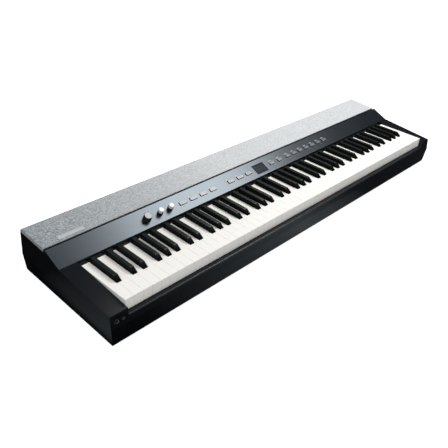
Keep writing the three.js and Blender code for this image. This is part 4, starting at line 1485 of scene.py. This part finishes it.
        if not knob.capped:
            self.flute(verts, top, height)
        form.block((-self.pointer_half, low, height - sunk), (self.pointer_half, high, height), mark)
        form.finish(Piece(f"{knob.name}_turned", Slot.KNOB, paints, knob.name, knob.name, sharp=32.0),
                    PANEL.spot(knob.across, self.row))

    def flute(self, verts: Iterable[Vert], top: float, height: float) -> None:
        """Cuts the finger grooves of a knob by drawing every other line of its side in.

        Args:
            verts: The knob's vertices.
            top: The radius of its cap.
            height: Its height.
        """
        for vert in verts:
            reach = math.hypot(vert.co.x, vert.co.y)
            if 3.1 < vert.co.z < height - 1.2 and reach > top - 0.2:
                step = round(math.atan2(vert.co.y, vert.co.x) * self.knob_sides / math.tau)
                vert.co.xy *= 1.0 - (self.flute_depth / reach if step % 2 else 0.0)

    def display(self) -> None:
        """Builds the smoked window with its frame, and the unlit segments in it."""
        half, depth, rim = self.display_length / 2, self.display_width / 2, self.display_rim
        low, high = -self.recess - self.display_step, -self.recess
        form = Form().block((-half, -depth, -self.board_depth), (half, depth, low))
        form.cells((-half, rim - half, half - rim, half), (-depth, rim - depth, depth - rim, depth),
                   (low - 1, high), lambda x, y, z: abs(x) > half - rim or abs(y) > depth - rim)
        form.finish(Piece("display_glass", Slot.DISPLAY, ("display",), "display_window",
                          bevel=self.display_edge), PANEL.spot(self.display_across, self.row))
        bars, uprights = [], []
        for digit in (-1, 0, 1):
            x = self.display_across + digit * self.digit_pitch
            bars += [PANEL.at(x, self.row + y, low) for y in self.bar_rows]
            uprights += [PANEL.at(x + side, self.row + y, low)
                         for side, y in product(self.upright_sides, self.upright_rows)]
        self.bar.put(Slot.DISPLAY, bars)
        self.upright.put(Slot.DISPLAY, uprights)

    def marks(self) -> None:
        """Builds the plain printed marks and the lamps round the controls."""
        above, below, clusters = [], [], []
        for button in self.buttons():
            half = button.width / 2
            above.append(PANEL.at(button.across - half + self.above_inset, self.row + self.above_rise,
                                  self.mark_level))
            below.append(PANEL.at(button.across + half - self.below_inset, self.row - self.below_drop,
                                  self.mark_level))
            if button.name.startswith(self.clustered):
                clusters.append(PANEL.at(button.across - self.cluster_shift, self.row + self.cluster_rise,
                                         self.mark_level))
        lamps = [PANEL.at(self.lamp_across, self.lamp_along + i * self.lamp_pitch, self.lamp_level)
                 for i in range(self.lamp_count)]
        for mark, spots in ((self.above, above), (self.below, below), (self.cluster, clusters),
                            (self.lamp, lamps)):
            mark.put(Slot.PANEL, spots)

    def build(self) -> None:
        """Builds the whole panel."""
        self.sheet_piece()
        for button in self.buttons():
            self.button(button)
        for knob in self.knobs:
            self.knob(knob)
        self.display()
        self.marks()


@dataclass(frozen=True)
class Lid:
    """The lid board under its stretched cloth, with the speakers and the bare plate."""

    length: float = 89.3
    sheet: float = 1.2
    fall: float = 6.0
    roll: float = 2.0
    roll_steps: int = 5
    speaker_inset: float = 100.0
    speaker_along: float = 50.0

    def outer(self, edge: bmesh.types.BMEdge) -> bool:
        """Says whether an edge is on the cloth's outer roll: round its top, or down a corner.

        Args:
            edge: The edge.

        Returns:
            Whether it is rolled.
        """
        near = 0.01
        ends = [vert.co for vert in edge.verts]
        at_end = all(abs(abs(end.x) - CASE_HALF) < near for end in ends)
        at_front, at_back = (all(abs(end.y - line) < near for end in ends) for line in (0, self.length))
        on_top = all(end.z > -near for end in ends)
        return (at_end and (at_front or at_back)) or (on_top and (at_end or at_front or at_back))

    def cloth(self) -> None:
        """Builds the cloth, rolled over the edges of the lid board."""
        half, gap, length = CASE_HALF, self.sheet, self.length
        form = Form().cells((-half, gap - half, half - gap, half), (0, gap, length - gap, length),
                            (-self.fall, -gap, 0),
                            lambda x, y, z: z > -gap or abs(x) > half - gap or not gap < y < length - gap)
        mesh = form.mesh
        bmesh.ops.dissolve_limit(mesh, angle_limit=0.005, verts=mesh.verts, edges=mesh.edges)
        bmesh.ops.bevel(mesh, geom=list(filter(self.outer, mesh.edges)), offset=self.roll,
                        segments=self.roll_steps, profile=0.5, affect="EDGES", clamp_overlap=False)
        mesh.normal_update()
        # Painted shade: the cloth's front fall, facing the player, takes the near-black second finish.
        form.repaint(lambda face: face.normal.y < -0.6 and face.calc_center_median().y < gap)
        cover = form.finish(Piece("lid_fabric", Slot.CLOTH, ("cloth", "hem"), "lid_cloth"), LID.matrix)

    def speaker(self, side: int, node: str) -> None:
        """Builds one speaker: magnet, basket, surround, cone and dust cap.

        Args:
            side: Its end of the case, -1 or 1.
            node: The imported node.
        """
        seat = LID_SEAT
        form = Form()
        form.turned([
            (0, seat - 40), (20.2, seat - 40), (21, seat - 39.2), (21, seat - 28), (24, seat - 27.6),
            (32, seat - 6), (32, seat - 2), (35, seat - 2), (35, seat - 0.3), (34.6, seat), (31.6, seat),
            (30.6, seat - 0.6), (28.5, seat - 0.1), (26.4, seat - 1.4), (9, seat - 14), (7.5, seat - 11.4),
            (4.5, seat - 9.9), (0, seat - 9.5),
        ], 56, [1] * 3 + [0] * 7 + [2] * 3 + [0] * 4)
        form.finish(Piece(f"{node}_driver", Slot.SPEAKER, ("speaker", "chassis", "rubber"), node),
                    LID.spot(side * (CASE_HALF - self.speaker_inset), self.speaker_along))

    def build(self) -> None:
        """Builds the whole lid."""
        self.cloth()
        refined(Piece("lid_panel", Slot.BOARD, ("board",), "lid_board", bevel=0.4))
        refined(Piece("bare_plate", Slot.BADGE, ("badge",), "name_plate", bevel=0.25))
        self.speaker(-1, "left_speaker")
        self.speaker(1, "right_speaker")


@dataclass(frozen=True)
class Inside:
    """The parts inside the case: chassis, boards and dust felt."""

    parts: tuple[tuple[str, str, Slot, float], ...] = (
        ("key_chassis", "chassis_sheet", Slot.CHASSIS, 0.3),
        ("contact_board", "contacts", Slot.CIRCUIT, 0.15),
        ("panel_board", "panel_circuit", Slot.CIRCUIT, 0.15),
        ("main_board", "main_circuit", Slot.CIRCUIT, 0.15),
        ("dust_felt", "felt_strip", Slot.FELT, 0.3),
    )

    def build(self) -> None:
        """Builds every inner part."""
        for node, name, slot, bevel in self.parts:
            refined(Piece(name, slot, (slot.value,), node, bevel=bevel))


@dataclass(frozen=True)
class Softbox:
    """One soft lamp: where it hangs, what it faces, its length and width in metres, and its watts."""

    name: str
    spot: Point
    aim: Point
    size: tuple[float, float]
    watts: float

    def hang(self) -> None:
        """Hangs the lamp in the scene."""
        data = bpy.data.lights.new(self.name, "AREA")
        data.shape = "RECTANGLE"
        data.size, data.size_y = self.size
        data.energy = self.watts
        lamp = link(bpy.data.objects.new(self.name, data))
        lamp.location = self.spot
        lamp.rotation_euler = (Vector(self.aim) - Vector(self.spot)).to_track_quat("-Z", "Y").to_euler()


@dataclass(frozen=True)
class Studio:
    """The pale floor, the soft light and the camera; places of light and floor are in metres."""

    place: Point = (-1137.710, -816.468, 860.054)
    heading: float = 0.87181
    dip: float = 0.59331
    roll: float = 0.11298
    focal_share: float = 574.634 / 448
    sensor: float = 36.0
    reach: float = 6.0
    white: Colour = (1.0, 1.0, 1.0)
    floor: Colour = (0.5, 0.5, 0.5)
    # Painted reflection: the dark and bright colours that the floor shows to glossy rays alone, so that the
    # case's faces mirror it bright or dark by place.
    painted_reflection_dark: Colour = (0.01, 0.01, 0.01)
    painted_reflection_bright: Colour = (0.68, 0.77, 0.82)
    room_front: Colour = (0.72, 0.73, 0.74)
    room_back: Colour = (0.3, 0.305, 0.315)
    mirrored_left: Colour = (0.27, 0.315, 0.355)
    mirrored_right: Colour = (0.05, 0.062, 0.078)
    glow: float = 0.8
    mirrored_turn: tuple[float, float] = (0.1, 0.75)
    room_turn: tuple[float, float] = (-0.9, 0.6)
    # Painted reflection: where the floor shows its bright colour to glossy rays.
    middle_rise: Ramp = (-0.56, 0.0, 0.0, 0.85)
    middle_fall: Ramp = (0.02, 0.32, 1.0, 0.06)
    beside_across: Ramp = (-0.675, -0.66, 0.8, 0.0)
    beside_along: Ramp = (-0.13, 0.13, 1.0, 0.0)
    lamps: tuple[Softbox, ...] = (
        Softbox("Key", (0.785, 0.09, 1.42), (0.13, 0.0, 0.05), (1.2, 0.82), 21.8),
        Softbox("Side", (-1.3, -0.45, 1.0), (-0.5, -0.1, 0.05), (0.6, 0.6), 4.8),
    )

    def camera(self) -> None:
        """Puts the camera where the photo was taken from."""
        across = Vector((math.cos(self.heading), -math.sin(self.heading), 0))
        ahead = Vector((math.sin(self.heading) * math.cos(self.dip),
                        math.cos(self.heading) * math.cos(self.dip), -math.sin(self.dip)))
        up = across.cross(ahead)
        turn, lean = math.cos(self.roll), math.sin(self.roll)
        axes = Matrix((turn * across + lean * up, turn * up - lean * across, -ahead)).transposed()
        data = bpy.data.cameras.new("Camera")
        data.sensor_width = self.sensor
        data.lens = self.focal_share * self.sensor
        data.clip_end = 50.0
        camera = link(bpy.data.objects.new("Camera", data))
        camera.matrix_world = Matrix.Translation(Vector(self.place) * MM) @ axes.to_4x4()
        bpy.context.scene.camera = camera

    def world(self) -> None:
        """Makes the surroundings: white to the camera, and a soft grey room to everything else."""
        world = bpy.data.worlds.new("Studio")
        bpy.context.scene.world = world
        world.use_nodes = True
        board = Board(world.node_tree)
        ray = board.add("ShaderNodeLightPath").outputs
        across, along, _ = board.add("ShaderNodeSeparateXYZ", {0: board.place("Generated")}).outputs
        sides = board.blend(board.ramp(across, *self.mirrored_turn), self.mirrored_left, self.mirrored_right)
        around = board.blend(board.ramp(along, *self.room_turn), self.room_front, self.room_back)
        fill = board.blend(ray["Is Glossy Ray"], around, sides)
        board.fill(world.node_tree.nodes["Background"], {
            "Color": board.blend(ray["Is Camera Ray"], fill, self.white), "Strength": 1.0,
        })

    def ground(self) -> None:
        """Lays the pale floor, which the camera sees as white wherever no shadow falls.

        To glossy rays alone its colour is painted by place, a painted reflection in the case: bright before
        its middle and beside its bass end, and dark elsewhere.
        """
        reach = self.reach
        data = bpy.data.meshes.new("floor")
        data.from_pydata([(-reach, -reach, 0), (reach, -reach, 0), (reach, reach, 0), (-reach, reach, 0)], [],
                         [(0, 1, 2, 3)])
        surface = Surface("Floor")
        ray = surface.add("ShaderNodeLightPath").outputs
        across, along, _ = surface.add("ShaderNodeSeparateXYZ", {0: surface.place()}).outputs
        # Painted reflection: these ramps pick where glossy rays see the bright floor colour.
        middle = surface.times(surface.ramp(across, *self.middle_rise),
                               surface.ramp(across, *self.middle_fall))
        beside = surface.times(surface.ramp(across, *self.beside_across),
                               surface.ramp(along, *self.beside_along))
        painted_reflection = surface.blend(surface.plus(middle, beside), self.painted_reflection_dark, self.painted_reflection_bright)
        bounced = surface.blend(ray["Is Glossy Ray"], self.floor, painted_reflection)
        data.materials.append(surface.make({
            "Base Color": surface.blend(ray["Is Camera Ray"], bounced, self.floor),
            "Emission Color": self.white, "Emission Strength": surface.times(ray["Is Camera Ray"], self.glow),
            "Roughness": 1.0, "Specular IOR Level": 0.0,
        }))
        floor = link(bpy.data.objects.new("floor", data))

    def build(self) -> None:
        """Sets the whole studio up."""
        self.camera()
        self.world()
        self.ground()
        for lamp in self.lamps:
            lamp.hang()
        bpy.context.scene.view_settings.view_transform = "Standard"


def main() -> None:
    """Builds the piano and the studio, and reports each piece."""
    logging.basicConfig(level=logging.INFO, format="%(message)s")
    known = {thing.name for thing in bpy.data.objects}
    for part in (Case(), Inside(), Keyboard(), ControlPanel(), Lid(), Studio()):
        part.build()
        fresh = [thing.name for thing in bpy.data.objects if thing.name not in known]
        known.update(fresh)
        LOG.info("%s built: %s", type(part).__name__, ", ".join(fresh))


if __name__ == "__main__":
    main()
